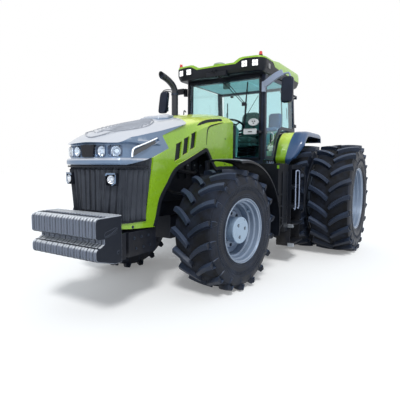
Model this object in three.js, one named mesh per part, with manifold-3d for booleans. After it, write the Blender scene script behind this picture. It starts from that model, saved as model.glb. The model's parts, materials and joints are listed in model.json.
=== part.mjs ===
// Row-crop farm tractor on front singles and rear duals, with suitcase weights on its nose.
// Millimetres, +Z up, the nose points to -Y and the driver's left is +X.
// Everything is set out from the rear axle line on the ground; the last lines move the origin
// to the middle of the length, on the ground.
import * as THREE from "three";
import { mergeVertices } from "three/addons/utils/BufferGeometryUtils.js";
import Module from "manifold-3d";

const wasm = await Module();
wasm.setup();

// ---------------------------------------------------------------- driving dimensions
const WHEELBASE = 3090;
const FRONT_AXLE_Y = -WHEELBASE;
const SEAT_GAP = 0.3; // between pieces that rest on or bolt to each other
const RUNNING_GAP = 0.5; // between thrust faces that turn on each other
const BORE_GAP = 0.8; // radial play of a faceted pin in a faceted bore
const PANEL_GAP = 5; // between a moving piece and what it passes

const WHEEL_SEGMENTS = 26;
const FLAT = Math.cos(Math.PI / WHEEL_SEGMENTS); // a faceted wheel stands on a flat of this share of its radius

const FRONT_TYRE = { radius: 785, width: 600, flange: 411, rim: 540 };
const FRONT_AXLE_Z = FRONT_TYRE.radius * FLAT;
const FRONT_HALF_TRACK = 940;
const KINGPIN_X = 657;
const STEER_AT_REST = -8; // degrees, the wheels are turned to the right

const REAR_TYRE = { radius: 1000, width: 710, flange: 560, rim: 600 };
const REAR_AXLE_Z = REAR_TYRE.radius * FLAT;
const REAR_INNER_X = 925;
const DUAL_SPACING = 780;

const TYRE_WALL = 45;
const TREAD_DEPTH = 95; // belt and lugs together
const RIM_THICKNESS = 14;
const FLANGE_HEIGHT = 30;

const HOOD_WALL = 25;
const HOOD_HINGE = { z: 2262, x: 311, pin: 12, reach: 40 };

const WEIGHTS = { halfWidth: 500, front: FRONT_AXLE_Y - 1885, back: FRONT_AXLE_Y - 1515, top: 1090, bottom: 590 };
const FRAME_HALF = 200;
const FRAME = { front: FRONT_AXLE_Y - 1210, bottom: FRONT_AXLE_Z + 150, depth: 200 };
const FRAME_TOP = FRAME.bottom + FRAME.depth;
const ENGINE = { halfWidth: 240, front: FRONT_AXLE_Y - 510, top: 1880 };
const CASE = { halfWidth: 260, front: -2250, rear: 350, bottom: 620, top: 1400 };

const TANK = { inner: 620, outer: 1250, front: FRONT_AXLE_Y + 1140, step: -1650, rear: -1120, bottom: 560, top: 1615, recess: 950 };

const CAB = { front: -1560, rear: -180, half: 760, floor: 1500, sill: 1700, shelf: 2230, header: 3100 };
const HOOD_REAR_Y = CAB.front - 520;
const HOOD_HINGE_Y = HOOD_REAR_Y - HOOD_HINGE.reach;
const PILLAR = 75;
const GLASS = 8;
const ROOF = {
  half: 850,
  front: CAB.front - 270,
  rear: 60,
  bottom: CAB.header,
  band: CAB.header + 165,
  top: CAB.header + 300,
  valley: 310, // half-width of the dip in the middle of its front edge
};

const BEACON = { x: 770, back: 110, radius: 36, z: CAB.header + 235 };

const FENDER = { top: 2200, half: 1270, inner: 530, wall: 22, gap: 75 };
const DOOR = { thickness: 32, hingeX: 838, hingeY: -128, pin: 10, hinges: [2330, 2880], frame: 55, bottom: 1715 };
const TIE_ARM = 240;
const HITCH = { pivotY: 330, pivotZ: 560, arm: 360, length: 830, x: 330, rockerY: 180, rockerZ: 1230 };
const ROCKSHAFT = 42;
const LINK_EYE = 48;
const REAR_END = HITCH.pivotY + HITCH.length + LINK_EYE; // tips of the lower links

// ---------------------------------------------------------------- solids
/** A closed geometry as a manifold solid, turned to face out. */
function solid(geometry) {
  const bare = new THREE.BufferGeometry();
  bare.setAttribute("position", geometry.getAttribute("position"));
  if (geometry.index) bare.setIndex(geometry.index);
  const merged = mergeVertices(bare, 1e-3);
  const corner = merged.index.array;
  const kept = [];
  for (let i = 0; i < corner.length; i += 3) {
    const [a, b, c] = [corner[i], corner[i + 1], corner[i + 2]];
    if (a !== b && b !== c && a !== c) kept.push(a, b, c);
  }
  const make = (triVerts) =>
    new wasm.Manifold(
      new wasm.Mesh({
        numProp: 3,
        vertProperties: new Float32Array(merged.attributes.position.array),
        triVerts: new Uint32Array(triVerts),
      }),
    );
  const made = make(kept);
  return made.volume() >= 0 ? made : make(kept.reverse());
}

const join = (...parts) => parts.reduce((whole, part) => whole.add(part));
const cut = (whole, ...tools) => tools.reduce((left, tool) => left.subtract(tool), whole);

function box(x0, x1, y0, y1, z0, z1) {
  const g = new THREE.BoxGeometry(x1 - x0, y1 - y0, z1 - z0);
  return solid(g.translate((x0 + x1) / 2, (y0 + y1) / 2, (z0 + z1) / 2));
}

/** A box given on the left, and its mirror on the right for side -1. */
const sideBox = (side, x0, x1, ...rest) =>
  side > 0 ? box(x0, x1, ...rest) : box(-x1, -x0, ...rest);

/** An outline run along one axis: outlines are (y, z) for x, (x, z) for y and (x, y) for z. */
function extrude(axis, outline, from, to) {
  const shape = Array.isArray(outline)
    ? new THREE.Shape(outline.map(([u, v]) => new THREE.Vector2(u, v)))
    : outline;
  const g = new THREE.ExtrudeGeometry(shape, { depth: to - from, bevelEnabled: false, curveSegments: 6 });
  const X = new THREE.Vector3(1, 0, 0);
  const Y = new THREE.Vector3(0, 1, 0);
  const Z = new THREE.Vector3(0, 0, 1);
  const m = new THREE.Matrix4();
  if (axis === "x") m.makeBasis(Y, Z, X).setPosition(from, 0, 0);
  if (axis === "y") m.makeBasis(X, Z, Y.negate()).setPosition(0, to, 0);
  if (axis === "z") m.makeBasis(X, Y, Z).setPosition(0, 0, from);
  return solid(g.applyMatrix4(m));
}

/** A cylinder along an axis, from one coordinate to another, through the point [a, b] of the other two. */
function cylinder(axis, [a, b], radius, from, to, segments = 20, radiusTo = radius) {
  const g = new THREE.CylinderGeometry(radiusTo, radius, to - from, segments);
  g.translate(0, (from + to) / 2, 0);
  if (axis === "x") g.rotateZ(-Math.PI / 2).translate(0, a, b);
  if (axis === "y") g.translate(a, 0, b);
  if (axis === "z") g.rotateX(Math.PI / 2).translate(a, b, 0);
  return solid(g);
}

/** A profile of [across, radius] points turned about the wheel axis X. */
function turned(profile, segments = WHEEL_SEGMENTS) {
  const points = profile.map(([across, radius]) => new THREE.Vector2(radius, across));
  const closed = [...points, points[0].clone()];
  const g = new THREE.LatheGeometry(closed, segments, Math.PI / segments, 2 * Math.PI);
  return solid(g.rotateZ(-Math.PI / 2));
}

/** A skin through rings of equal length, closed by a fan at each end. */
function loft(rings) {
  const n = rings[0].length;
  const index = [];
  for (let r = 0; r + 1 < rings.length; r++) {
    for (let i = 0; i < n; i++) {
      const [a, b] = [r * n + i, r * n + ((i + 1) % n)];
      index.push(a, b, b + n, a, b + n, a + n);
    }
  }
  const last = (rings.length - 1) * n;
  for (let i = 1; i + 1 < n; i++) {
    index.push(0, i + 1, i, last, last + i, last + i + 1);
  }
  const g = new THREE.BufferGeometry();
  g.setAttribute("position", new THREE.Float32BufferAttribute(rings.flat(2), 3));
  g.setIndex(index);
  return solid(g);
}

/** A post of rectangular section between two points, its section level. */
function post([x0, y0, z0], [x1, y1, z1], wide, deep) {
  const ring = (x, y, z) => [
    [x - wide / 2, y - deep / 2, z],
    [x + wide / 2, y - deep / 2, z],
    [x + wide / 2, y + deep / 2, z],
    [x - wide / 2, y + deep / 2, z],
  ];
  return loft([ring(x0, y0, z0), ring(x1, y1, z1)]);
}

/** A round bar through points. */
function bar(points, radius, steps, sides = 8) {
  const path = new THREE.CatmullRomCurve3(points.map((p) => new THREE.Vector3(...p)), false, "catmullrom", 0.4);
  const shape = new THREE.Shape().absarc(0, 0, radius, 0, 2 * Math.PI);
  const g = new THREE.ExtrudeGeometry(shape, { steps, extrudePath: path, curveSegments: sides / 2 });
  return solid(g);
}

// ---------------------------------------------------------------- finishes
const finish = (color, roughness, metalness = 0) => new THREE.MeshStandardMaterial({ color, roughness, metalness });
const LIME = finish(0x8ab821, 0.35);
const SILVER = finish(0x8d9aa8, 0.35, 0.4);
const GREY = finish(0x4f6680, 0.5);
const BLACK = finish(0x14181d, 0.55);
const CAST = finish(0x1b2026, 0.6, 0.3);
const RUBBER = finish(0x121519, 0.85);
const RIM_PAINT = finish(0xa9b6c4, 0.4, 0.5);
const TINTED = new THREE.MeshStandardMaterial({ color: 0x6fb3ad, roughness: 0.05, transparent: true, opacity: 0.4 });
const TRIM = finish(0x2d4743, 0.7);
const SEAT_CLOTH = finish(0x35504c, 0.9);
const LAMP = finish(0xe8ecef, 0.1);
const RED = finish(0xd2352c, 0.2);
const STEEL = finish(0x6a7078, 0.4, 0.8);

// ---------------------------------------------------------------- the assembly
const tractor = new THREE.Group();
const rearAxleFrame = new THREE.Group();
tractor.add(rearAxleFrame);

function piece(name, shape, material, parent = rearAxleFrame) {
  const mesh = shape.getMesh();
  const g = new THREE.BufferGeometry();
  const xyz = new Float32Array(mesh.numVert * 3);
  for (let i = 0; i < mesh.numVert; i++) {
    xyz.set(mesh.vertProperties.subarray(i * mesh.numProp, i * mesh.numProp + 3), i * 3);
  }
  g.setAttribute("position", new THREE.BufferAttribute(xyz, 3));
  g.setIndex(new THREE.BufferAttribute(new Uint32Array(mesh.triVerts), 1));
  const node = new THREE.Mesh(g, material);
  node.name = name;
  parent.add(node);
  return node;
}

const sideName = (side) => (side > 0 ? "left" : "right");

// ---------------------------------------------------------------- wheels
/** A hollow tyre, open towards its rim. */
function tyre({ radius, width, flange, rim }) {
  const half = width / 2;
  const seat = flange - FLANGE_HEIGHT + SEAT_GAP;
  const bead = rim / 2 - RIM_THICKNESS - SEAT_GAP;
  const bulge = seat + 0.5 * (radius - seat);
  const outer = [
    [bead, seat],
    [bead, flange + 3],
    [half, bulge],
    [half * 0.88, radius],
  ];
  const inner = [
    [half * 0.8, radius - TREAD_DEPTH],
    [half - TYRE_WALL, bulge],
    [bead - TYRE_WALL, seat],
  ];
  const mirror = ([x, r]) => [-x, r];
  return turned([
    ...outer,
    ...[...outer].reverse().map(mirror),
    ...[...inner].reverse().map(mirror),
    ...inner,
  ]);
}

/** A rim with its disc; disc is how far outboard of the rim's middle the disc's outer face lies. */
function rimRing({ flange, rim }, side, disc, discThickness, boreRadius) {
  const half = rim / 2;
  const seat = flange - FLANGE_HEIGHT;
  const inside = seat - RIM_THICKNESS;
  const profile = [
    [disc, boreRadius],
    [disc, inside],
    [half, inside],
    [half, flange],
    [half - RIM_THICKNESS, flange],
    [half - RIM_THICKNESS, seat],
    [-half + RIM_THICKNESS, seat],
    [-half + RIM_THICKNESS, flange],
    [-half, flange],
    [-half, inside],
    [disc - discThickness, inside],
    [disc - discThickness, boreRadius],
  ];
  return turned(profile.map(([x, r]) => [side * x, r]));
}

const SPINDLE = { radius: 75, flange: 120, thrust: 170, end: 255 };
const FRONT_HUB = { radius: 150, face: 395 };

function frontWheel(side, knuckleGroup) {
  const group = new THREE.Group();
  const offset = FRONT_HALF_TRACK - KINGPIN_X;
  group.position.set(side * offset, 0, FRONT_AXLE_Z);
  knuckleGroup.add(group);
  const thrust = SPINDLE.thrust - offset;
  const hubFace = FRONT_HUB.face - offset;
  const hub = cut(
    cylinder("x", [0, 0], FRONT_HUB.radius, thrust, hubFace, WHEEL_SEGMENTS),
    cylinder("x", [0, 0], SPINDLE.radius + BORE_GAP, thrust - 1, SPINDLE.end + PANEL_GAP - offset, WHEEL_SEGMENTS),
  );
  const sided = side > 0 ? hub : solidMirror(hub);
  const ring = rimRing(FRONT_TYRE, side, hubFace - 45, 18, FRONT_HUB.radius - 10);
  piece(`front_rim_${sideName(side)}`, join(ring, sided), RIM_PAINT, group);
  piece(`front_tyre_${sideName(side)}`, tyre(FRONT_TYRE), RUBBER, group);
}

/** The same solid on the other side of the YZ plane. */
function solidMirror(shape) {
  const mesh = shape.getMesh();
  const g = new THREE.BufferGeometry();
  const xyz = [];
  for (let i = 0; i < mesh.numVert; i++) {
    const [x, y, z] = mesh.vertProperties.subarray(i * mesh.numProp, i * mesh.numProp + 3);
    xyz.push(-x, y, z);
  }
  g.setAttribute("position", new THREE.Float32BufferAttribute(xyz, 3));
  g.setIndex([...mesh.triVerts]);
  return solid(g);
}
const onSide = (side, shape) => (side > 0 ? shape : solidMirror(shape));

const TRUMPET = { radius: 135, end: 500 };
const AXLE_BAR = { radius: 58, inner: 400, collar: 85 };

function rearWheels(side) {
  const group = new THREE.Group();
  group.position.set(0, 0, REAR_AXLE_Z);
  rearAxleFrame.add(group);
  const outerX = REAR_INNER_X + DUAL_SPACING;
  const barEnd = outerX + 215;
  const ringAt = (x, disc, name) => {
    const ring = new THREE.Group();
    ring.position.x = side * x;
    group.add(ring);
    piece(`rear_${name}_tyre_${sideName(side)}`, tyre(REAR_TYRE), RUBBER, ring);
    return moved(rimRing(REAR_TYRE, side, disc, 20, AXLE_BAR.radius + 60), side * x, 0, 0);
  };
  const discInner = 60;
  const discOuter = 60;
  const hubAt = (x) => onSide(side, cylinder("x", [0, 0], 170, x - 50, x + 30, WHEEL_SEGMENTS));
  const rims = join(
    ringAt(REAR_INNER_X, discInner, "inner"),
    ringAt(outerX, discOuter, "outer"),
    onSide(side, cylinder("x", [0, 0], AXLE_BAR.radius, AXLE_BAR.inner, barEnd, WHEEL_SEGMENTS)),
    onSide(
      side,
      cylinder("x", [0, 0], AXLE_BAR.collar, TRUMPET.end + RUNNING_GAP, TRUMPET.end + 40, WHEEL_SEGMENTS),
    ),
    hubAt(REAR_INNER_X + discInner),
    hubAt(outerX + discOuter),
  );
  piece(`rear_rims_${sideName(side)}`, rims, RIM_PAINT, group);
}

function moved(shape, x, y, z) {
  const mesh = shape.getMesh();
  const g = new THREE.BufferGeometry();
  const xyz = [];
  for (let i = 0; i < mesh.numVert; i++) {
    const p = mesh.vertProperties.subarray(i * mesh.numProp, i * mesh.numProp + 3);
    xyz.push(p[0] + x, p[1] + y, p[2] + z);
  }
  g.setAttribute("position", new THREE.Float32BufferAttribute(xyz, 3));
  g.setIndex([...mesh.triVerts]);
  return solid(g);
}

// ---------------------------------------------------------------- front axle and steering
const BOSS = { radius: 85, half: 130 };
const EAR = 40;
const KINGPIN = { radius: 30, depth: 45 };
const BRACKET_TOP_GAP = SEAT_GAP;
const FRONT_FENDER = { inner: FRONT_TYRE.radius + 100, wall: 20, from: -12, to: 98, edge: 600, steps: 28 };
const FENDER_FLAT = Math.cos(THREE.MathUtils.degToRad((FRONT_FENDER.to - FRONT_FENDER.from) / FRONT_FENDER.steps / 2));
const STAY = { half: 30, thick: 30 };
// The stay's flat top comes up under the fender's round, which drops by this much at the stay's edges.
const STAY_DROP = FRONT_FENDER.inner - Math.sqrt(FRONT_FENDER.inner ** 2 - STAY.half ** 2);
const STAY_TOP = FRONT_FENDER.inner * FENDER_FLAT - STAY_DROP - SEAT_GAP;

function frontAxle() {
  const z = FRONT_AXLE_Z;
  const y = FRONT_AXLE_Y;
  let beam = join(
    cylinder("x", [y, z], 100, -KINGPIN_X, KINGPIN_X, 16),
    box(-160, 160, y - 225, y + 130, z - 190, z + 135),
    box(-110, 110, y - 130, y + 130, z + 90, FRAME.bottom - SEAT_GAP),
  );
  for (const side of [-1, 1]) {
    beam = join(beam, cylinder("z", [side * KINGPIN_X, y], BOSS.radius, z - BOSS.half, z + BOSS.half, 24));
    for (const end of [-1, 1]) {
      const mouth = z + end * (BOSS.half + 1);
      const floor = z + end * (BOSS.half - KINGPIN.depth - PANEL_GAP);
      const [low, high] = [Math.min(mouth, floor), Math.max(mouth, floor)];
      beam = cut(beam, cylinder("z", [side * KINGPIN_X, y], KINGPIN.radius + BORE_GAP, low, high, 24));
    }
  }
  piece("front_axle_housing", beam, CAST);
}

/** The steered end of the axle in the kingpin's own frame, before it is turned. */
function knuckle(side) {
  const z = FRONT_AXLE_Z;
  const group = new THREE.Group();
  group.position.set(side * KINGPIN_X, FRONT_AXLE_Y, 0);
  group.rotation.z = THREE.MathUtils.degToRad(STEER_AT_REST);
  rearAxleFrame.add(group);

  const reach = BOSS.half + RUNNING_GAP;
  const plateX = BOSS.radius + 15;
  const parts = [box(plateX, plateX + 35, -110, 110, z - reach - EAR, z + reach + EAR)];
  for (const end of [-1, 1]) {
    const [near, far] = [z + end * reach, z + end * (reach + EAR)];
    const tip = z + end * (reach - KINGPIN.depth);
    parts.push(box(-60, plateX + 1, -75, 75, Math.min(near, far), Math.max(near, far)));
    parts.push(cylinder("z", [0, 0], KINGPIN.radius, Math.min(tip, far), Math.max(tip, far), 24));
  }
  parts.push(cylinder("x", [0, z], SPINDLE.flange, plateX + 30, SPINDLE.thrust - RUNNING_GAP, WHEEL_SEGMENTS));
  parts.push(cylinder("x", [0, z], SPINDLE.radius, plateX + 30, SPINDLE.end, WHEEL_SEGMENTS));
  // Steering arm, straight back, with the ball pin standing on its end.
  const arm = TIE_ROD.tab;
  parts.push(box(-32, 32, 60, TIE_ARM + 34, z - reach - EAR, arm - 0));
  parts.push(box(-32, plateX + 20, 60, 110, z - reach - EAR, arm));
  parts.push(cylinder("z", [0, TIE_ARM], TIE_ROD.pin, arm - 10, arm + TIE_ROD.eyeHeight + 12, 16));
  // Fender stay, inboard of the tyre.
  const inboard = FRONT_HALF_TRACK - KINGPIN_X - FRONT_TYRE.width / 2;
  const stay = inboard - 13;
  const { half, thick } = STAY;
  parts.push(box(stay - thick, stay, -half, half, z + reach, z + STAY_TOP));
  parts.push(box(stay - thick, stay + 90, -half, half, z + STAY_TOP - 20, z + STAY_TOP));
  piece(`knuckle_${sideName(side)}`, onSide(side, join(...parts)), CAST, group);

  piece(`front_fender_${sideName(side)}`, onSide(side, frontFender(stay - STAY.thick)), BLACK, group);
  return group;
}

/** A quarter shell over the top and the back of the tyre, narrower towards its tail. */
function frontFender(innerEdge) {
  const z = FRONT_AXLE_Z;
  const outerEdge = FRONT_FENDER.edge;
  const sector = new THREE.Shape();
  const start = THREE.MathUtils.degToRad(FRONT_FENDER.from);
  const end = THREE.MathUtils.degToRad(FRONT_FENDER.to);
  sector.absarc(0, z, FRONT_FENDER.inner + FRONT_FENDER.wall, start, end, false);
  sector.absarc(0, z, FRONT_FENDER.inner, end, start, true);
  const g = new THREE.Shape(sector.getPoints(FRONT_FENDER.steps / 2));
  const shell = extrude("x", g, innerEdge, outerEdge);
  const lip = new THREE.Shape();
  lip.absarc(0, z, FRONT_FENDER.inner + 2, start, end, false);
  lip.absarc(0, z, FRONT_FENDER.inner - 34, end, start, true);
  const skirt = extrude("x", new THREE.Shape(lip.getPoints(FRONT_FENDER.steps / 2)), outerEdge - 14, outerEdge);
  const taper = extrude("z", [
    [innerEdge - 50, 250],
    [innerEdge, 250],
    [290, 800],
    [290, 1200],
    [innerEdge - 50, 1200],
  ], 0, 2500);
  return cut(join(shell, skirt), taper);
}

const TIE_ROD = { tab: FRONT_AXLE_Z - BOSS.half - RUNNING_GAP - 5, pin: 14, eye: 33, eyeHeight: 28, radius: 20 };

function tieRod() {
  const angle = THREE.MathUtils.degToRad(STEER_AT_REST);
  const dx = -TIE_ARM * Math.sin(angle);
  const y = FRONT_AXLE_Y + TIE_ARM * Math.cos(angle);
  const z0 = TIE_ROD.tab + RUNNING_GAP;
  const z1 = z0 + TIE_ROD.eyeHeight;
  const ends = [-1, 1].map((side) => cylinder("z", [side * KINGPIN_X + dx, y], TIE_ROD.eye, z0, z1, 20));
  const holes = [-1, 1].map((side) =>
    cylinder("z", [side * KINGPIN_X + dx, y], TIE_ROD.pin + BORE_GAP, z0 - 1, z1 + 1, 16),
  );
  const rod = cylinder("x", [y, (z0 + z1) / 2], TIE_ROD.radius * 0.65, -KINGPIN_X + dx, KINGPIN_X + dx, 12);
  piece("tie_rod", cut(join(rod, ...ends), ...holes), STEEL);
}

// ---------------------------------------------------------------- frame, engine and driveline
function frontFrame() {
  const rails = [-1, 1].map((side) =>
    sideBox(side, 120, FRAME_HALF, FRAME.front, CASE.front - SEAT_GAP, FRAME.bottom, FRAME_TOP),
  );
  const saddle = box(-FRAME_HALF, FRAME_HALF, FRONT_AXLE_Y - 160, FRONT_AXLE_Y + 160, FRAME.bottom, FRAME_TOP);
  const bolster = box(-FRAME_HALF, FRAME_HALF, FRAME.front, FRAME.front + 260, 640, FRAME_TOP);
  const rearTie = box(-FRAME_HALF, FRAME_HALF, CASE.front - 200, CASE.front - SEAT_GAP, FRAME.bottom, FRAME_TOP);
  piece("front_frame", join(...rails, saddle, bolster, rearTie), CAST);
}

function engine() {
  const block = box(
    -ENGINE.halfWidth, ENGINE.halfWidth, ENGINE.front, CASE.front - SEAT_GAP, FRAME_TOP + SEAT_GAP, ENGINE.top,
  );
  piece("engine_block", block, CAST);
}

function rearHousing() {
  const side = [
    [CASE.front, 760],
    [-1500, CASE.bottom],
    [CASE.rear, CASE.bottom],
    [CASE.rear, 1300],
    [200, CASE.top],
    [CASE.front, CASE.top],
  ];
  let body = extrude("x", side, -CASE.halfWidth, CASE.halfWidth);
  for (const s of [-1, 1]) {
    body = join(
      body,
      onSide(s, cylinder("x", [0, REAR_AXLE_Z], 190, CASE.halfWidth - 20, TRUMPET.end, 24, TRUMPET.radius)),
      sideBox(s, CASE.halfWidth - 20, TANK.inner - SEAT_GAP, -1880, -1760, 780, 880),
      sideBox(s, CASE.halfWidth - 20, TANK.inner - SEAT_GAP, -1330, -1210, 780, 880),
      sideBox(s, 150, CASE.halfWidth, -1300, -1180, CASE.top - 20, CAB.floor - SEAT_GAP),
      sideBox(s, 150, CASE.halfWidth, -160, -40, 1300, CAB.floor - SEAT_GAP),
    );
    const bore = AXLE_BAR.inner - PANEL_GAP;
    const hole = cylinder("x", [0, REAR_AXLE_Z], AXLE_BAR.radius + BORE_GAP, bore, TRUMPET.end + 1, WHEEL_SEGMENTS);
    body = cut(body, onSide(s, hole));
  }
  const { rockerY, rockerZ } = HITCH;
  body = cut(body, cylinder("x", [rockerY, rockerZ], ROCKSHAFT + BORE_GAP, -CASE.halfWidth - 1, CASE.halfWidth + 1, 20));
  // Lugs for the lower links and the rockshaft, the drawbar hanger and the power take-off stub.
  const lugs = [];
  for (const s of [-1, 1]) {
    lugs.push(
      sideBox(s, 200, CASE.halfWidth + 20, 200, HITCH.pivotY + 45, HITCH.pivotZ - 45, 760),
      sideBox(s, CASE.halfWidth, HITCH.x - 30 - RUNNING_GAP, HITCH.pivotY - 45, HITCH.pivotY + 45, HITCH.pivotZ - 45, HITCH.pivotZ + 45),
      onSide(s, cylinder("x", [HITCH.pivotY, HITCH.pivotZ], 18, HITCH.x - 40, HITCH.x + 25, 16)),
    );
  }
  const pto = cylinder("y", [0, 760], 28, CASE.rear - 10, CASE.rear + 110, 16);
  const hanger = box(-70, 70, 150, CASE.rear + 20, 470, CASE.bottom + 10);
  const topMast = box(-60, 60, CASE.rear - 60, CASE.rear + 60, 1040, 1130);
  piece("rear_housing", join(body, ...lugs, pto, hanger, topMast), CAST);
}

function drawbar() {
  const plate = box(-60, 60, -250, 760, 425, 470 - SEAT_GAP);
  const tongue = box(-60, 60, 560, 760, 400, 430);
  const hole = cylinder("z", [0, 700], 18, 380, 500, 20);
  piece("drawbar", cut(join(plate, tongue), hole), CAST);
}

// ---------------------------------------------------------------- weights
/** One suitcase weight seen from the side: two blunt noses with the grip slot between them. */
function weightOutline(front, back) {
  const shape = new THREE.Shape();
  const { top, bottom } = WEIGHTS;
  shape.moveTo(back, top);
  shape.lineTo(front + 60, top - 12);
  shape.quadraticCurveTo(front, top - 22, front, top - 80);
  shape.lineTo(front, top - 190);
  shape.lineTo(front + 25, top - 210);
  shape.lineTo(front + 120, top - 215);
  shape.lineTo(front + 120, top - 270);
  shape.lineTo(front + 60, top - 300);
  shape.quadraticCurveTo(front, top - 310, front, top - 350);
  shape.lineTo(front, top - 390);
  shape.quadraticCurveTo(front, top - 425, front + 60, top - 435);
  shape.lineTo(front + 265, bottom);
  shape.lineTo(back, bottom);
  return new THREE.Shape(shape.getPoints(3));
}

function weights() {
  const { halfWidth, front, back } = WEIGHTS;
  const whole = extrude("x", weightOutline(front, back), -halfWidth, halfWidth);
  piece("front_weights", whole, CAST);
}

function weightCarrier() {
  const back = WEIGHTS.back + SEAT_GAP;
  const plate = box(-460, 460, back, back + 90, 600, 880);
  const neck = box(-FRAME_HALF, FRAME_HALF, back + 80, FRAME.front - SEAT_GAP, 640, 880);
  const cheeks = [-1, 1].map((s) => sideBox(s, FRAME_HALF + SEAT_GAP, 440, back + 160, noseY(895), 600, 870));
  const arms = [-1, 1].map((s) => sideBox(s, 170, 440, back + 160, FRAME.front - SEAT_GAP, 640, 870));
  const ties = [-1, 1].map((s) => sideBox(s, 330, 400, back + 60, back + 200, 640, 870));
  piece("weight_carrier", join(plate, neck, ...cheeks, ...arms, ...ties), CAST);
}

// ---------------------------------------------------------------- hood
/** A place on the hood this far ahead of the front axle. */
const noseY = (ahead) => FRONT_AXLE_Y - ahead;
/** A place on the hood at this share of the way from the front axle to its rear edge. */
const tailY = (share) => FRONT_AXLE_Y + share * (HOOD_REAR_Y - FRONT_AXLE_Y);

// Stations along the hood: y, bottom half-width, crease half-width and height, flank and crown.
const HOOD_BASE_Z = 860;
const HOOD_STATIONS = [
  { y: noseY(1480), foot: 240, crease: [345, 1590], flank: [335, 1800], shoulder: [250, 1845], crown: 1860 },
  { y: noseY(1445), foot: 330, crease: [415, 1595], flank: [405, 1830], shoulder: [290, 1885], crown: 1915 },
  { y: noseY(1350), foot: 410, crease: [460, 1605], flank: [440, 1865], shoulder: [300, 1945], crown: 1990 },
  { y: noseY(1110), foot: 462, crease: [480, 1630], flank: [450, 1905], shoulder: [300, 2025], crown: 2062 },
  { y: noseY(810), foot: 480, crease: [485, 1720], flank: [450, 1965], shoulder: [300, 2095], crown: 2135 },
  { y: noseY(410), foot: 480, crease: [490, 1885], flank: [440, 2085], shoulder: [300, 2180], crown: 2222 },
  { y: tailY(0.11), foot: 480, crease: [490, 2115], flank: [425, 2215], shoulder: [290, 2275], crown: 2315 },
  { y: tailY(0.585), foot: 480, crease: [485, 2215], flank: [415, 2290], shoulder: [280, 2345], crown: 2385 },
  { y: tailY(1), foot: 475, crease: [478, 2275], flank: [400, 2335], shoulder: [270, 2385], crown: 2425 },
];

function hoodRing({ y, foot, crease, flank, shoulder, crown }, inset) {
  const right = [[foot, HOOD_BASE_Z - 2 * inset], crease, flank, shoulder].map(([x, z], i) => [
    x - inset,
    i ? z - inset * 0.8 : z,
  ]);
  const half = [...right, [0, crown - inset]];
  const mirrored = [...right].reverse().map(([x, z]) => [-x, z]);
  return [...half, ...mirrored].map(([x, z]) => [x, y, z]);
}

/** How far forward the hood may reach at height z, so that it lifts past the weights' rear top edge. */
const liftY = (z) => {
  const reach = Math.hypot(WEIGHTS.back - HOOD_HINGE_Y, WEIGHTS.top - HOOD_HINGE.z) - 2 * PANEL_GAP;
  return HOOD_HINGE_Y - Math.sqrt(reach ** 2 - (HOOD_HINGE.z - z) ** 2);
};
/** What the hood's side view keeps: the belly line, the wheel arch and the tail. */
const HOOD_KEEP = [
  [noseY(1800), 1060],
  [liftY(1060), 1060],
  [liftY(990), 990],
  [liftY(912), 912],
  [noseY(940), 885],
  [noseY(905), 1000],
  [noseY(840), 1205],
  [noseY(534), 1560],
  [tailY(0.13), 1812],
  [tailY(0.21), 1800],
  [tailY(0.436), 1563],
  [HOOD_REAR_Y + 10, 1563],
  [HOOD_REAR_Y + 10, 2600],
  [noseY(1800), 2600],
];
/** The silver nose cap in side view. */
const NOSE_LINE = [
  [noseY(1800), 1605],
  [noseY(1390), 1605],
  [noseY(970), 1690],
  [noseY(680), 1806],
  [noseY(770), 1955],
  [noseY(249), 2150],
  [tailY(0.03), 2420],
  [noseY(1800), 2420],
];
/** The dark grille in side view. */
const GRILLE_LINE = [
  [noseY(1800), 1700],
  [noseY(970), 1700],
  [noseY(1086), 973],
  [noseY(1425), 973],
  [noseY(1425), 800],
  [noseY(1800), 800],
];

function hood() {
  const outer = loft(HOOD_STATIONS.map((s) => hoodRing(s, 0)));
  const innerStations = HOOD_STATIONS.map((s, i) => ({
    ...s,
    y: i === 0 ? s.y + HOOD_WALL : i === HOOD_STATIONS.length - 1 ? s.y + 60 : s.y + (i < 3 ? HOOD_WALL * 0.6 : 0),
  }));
  const inner = loft(innerStations.map((s) => hoodRing(s, HOOD_WALL)));
  const keep = extrude("x", HOOD_KEEP, -700, 700);
  const shell = cut(outer, inner).intersect(keep);
  const shift = (outline, dy, dz) => outline.map(([y, z]) => [y + dy, z + dz]);
  const noseZone = extrude("x", NOSE_LINE, -700, 700);
  const noseInside = extrude("x", shift(NOSE_LINE, -0.6, 0.4), -700, 700);
  const grilleZone = extrude("x", GRILLE_LINE, -700, 700);
  const grilleInside = extrude("x", shift(GRILLE_LINE, -0.5, 0.5), -700, 700);

  const group = new THREE.Group();
  rearAxleFrame.add(group);
  piece("nose_cap", shell.intersect(noseInside), SILVER, group);
  piece("grille", cut(shell.intersect(grilleInside), noseZone), BLACK, group);

  const ears = [];
  const { z, x, pin } = HOOD_HINGE;
  const y = HOOD_HINGE_Y;
  for (const s of [-1, 1]) {
    const ear = cut(
      sideBox(s, x - 11, x + 11, y - 26, y + 26, z - 26, 2350),
      onSide(s, cylinder("x", [y, z], pin + BORE_GAP, x - 40, x + 40, 16)),
    );
    ears.push(ear);
  }
  piece("hood_shell", join(cut(shell, noseZone, grilleZone), ...ears), LIME, group);
}

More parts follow.
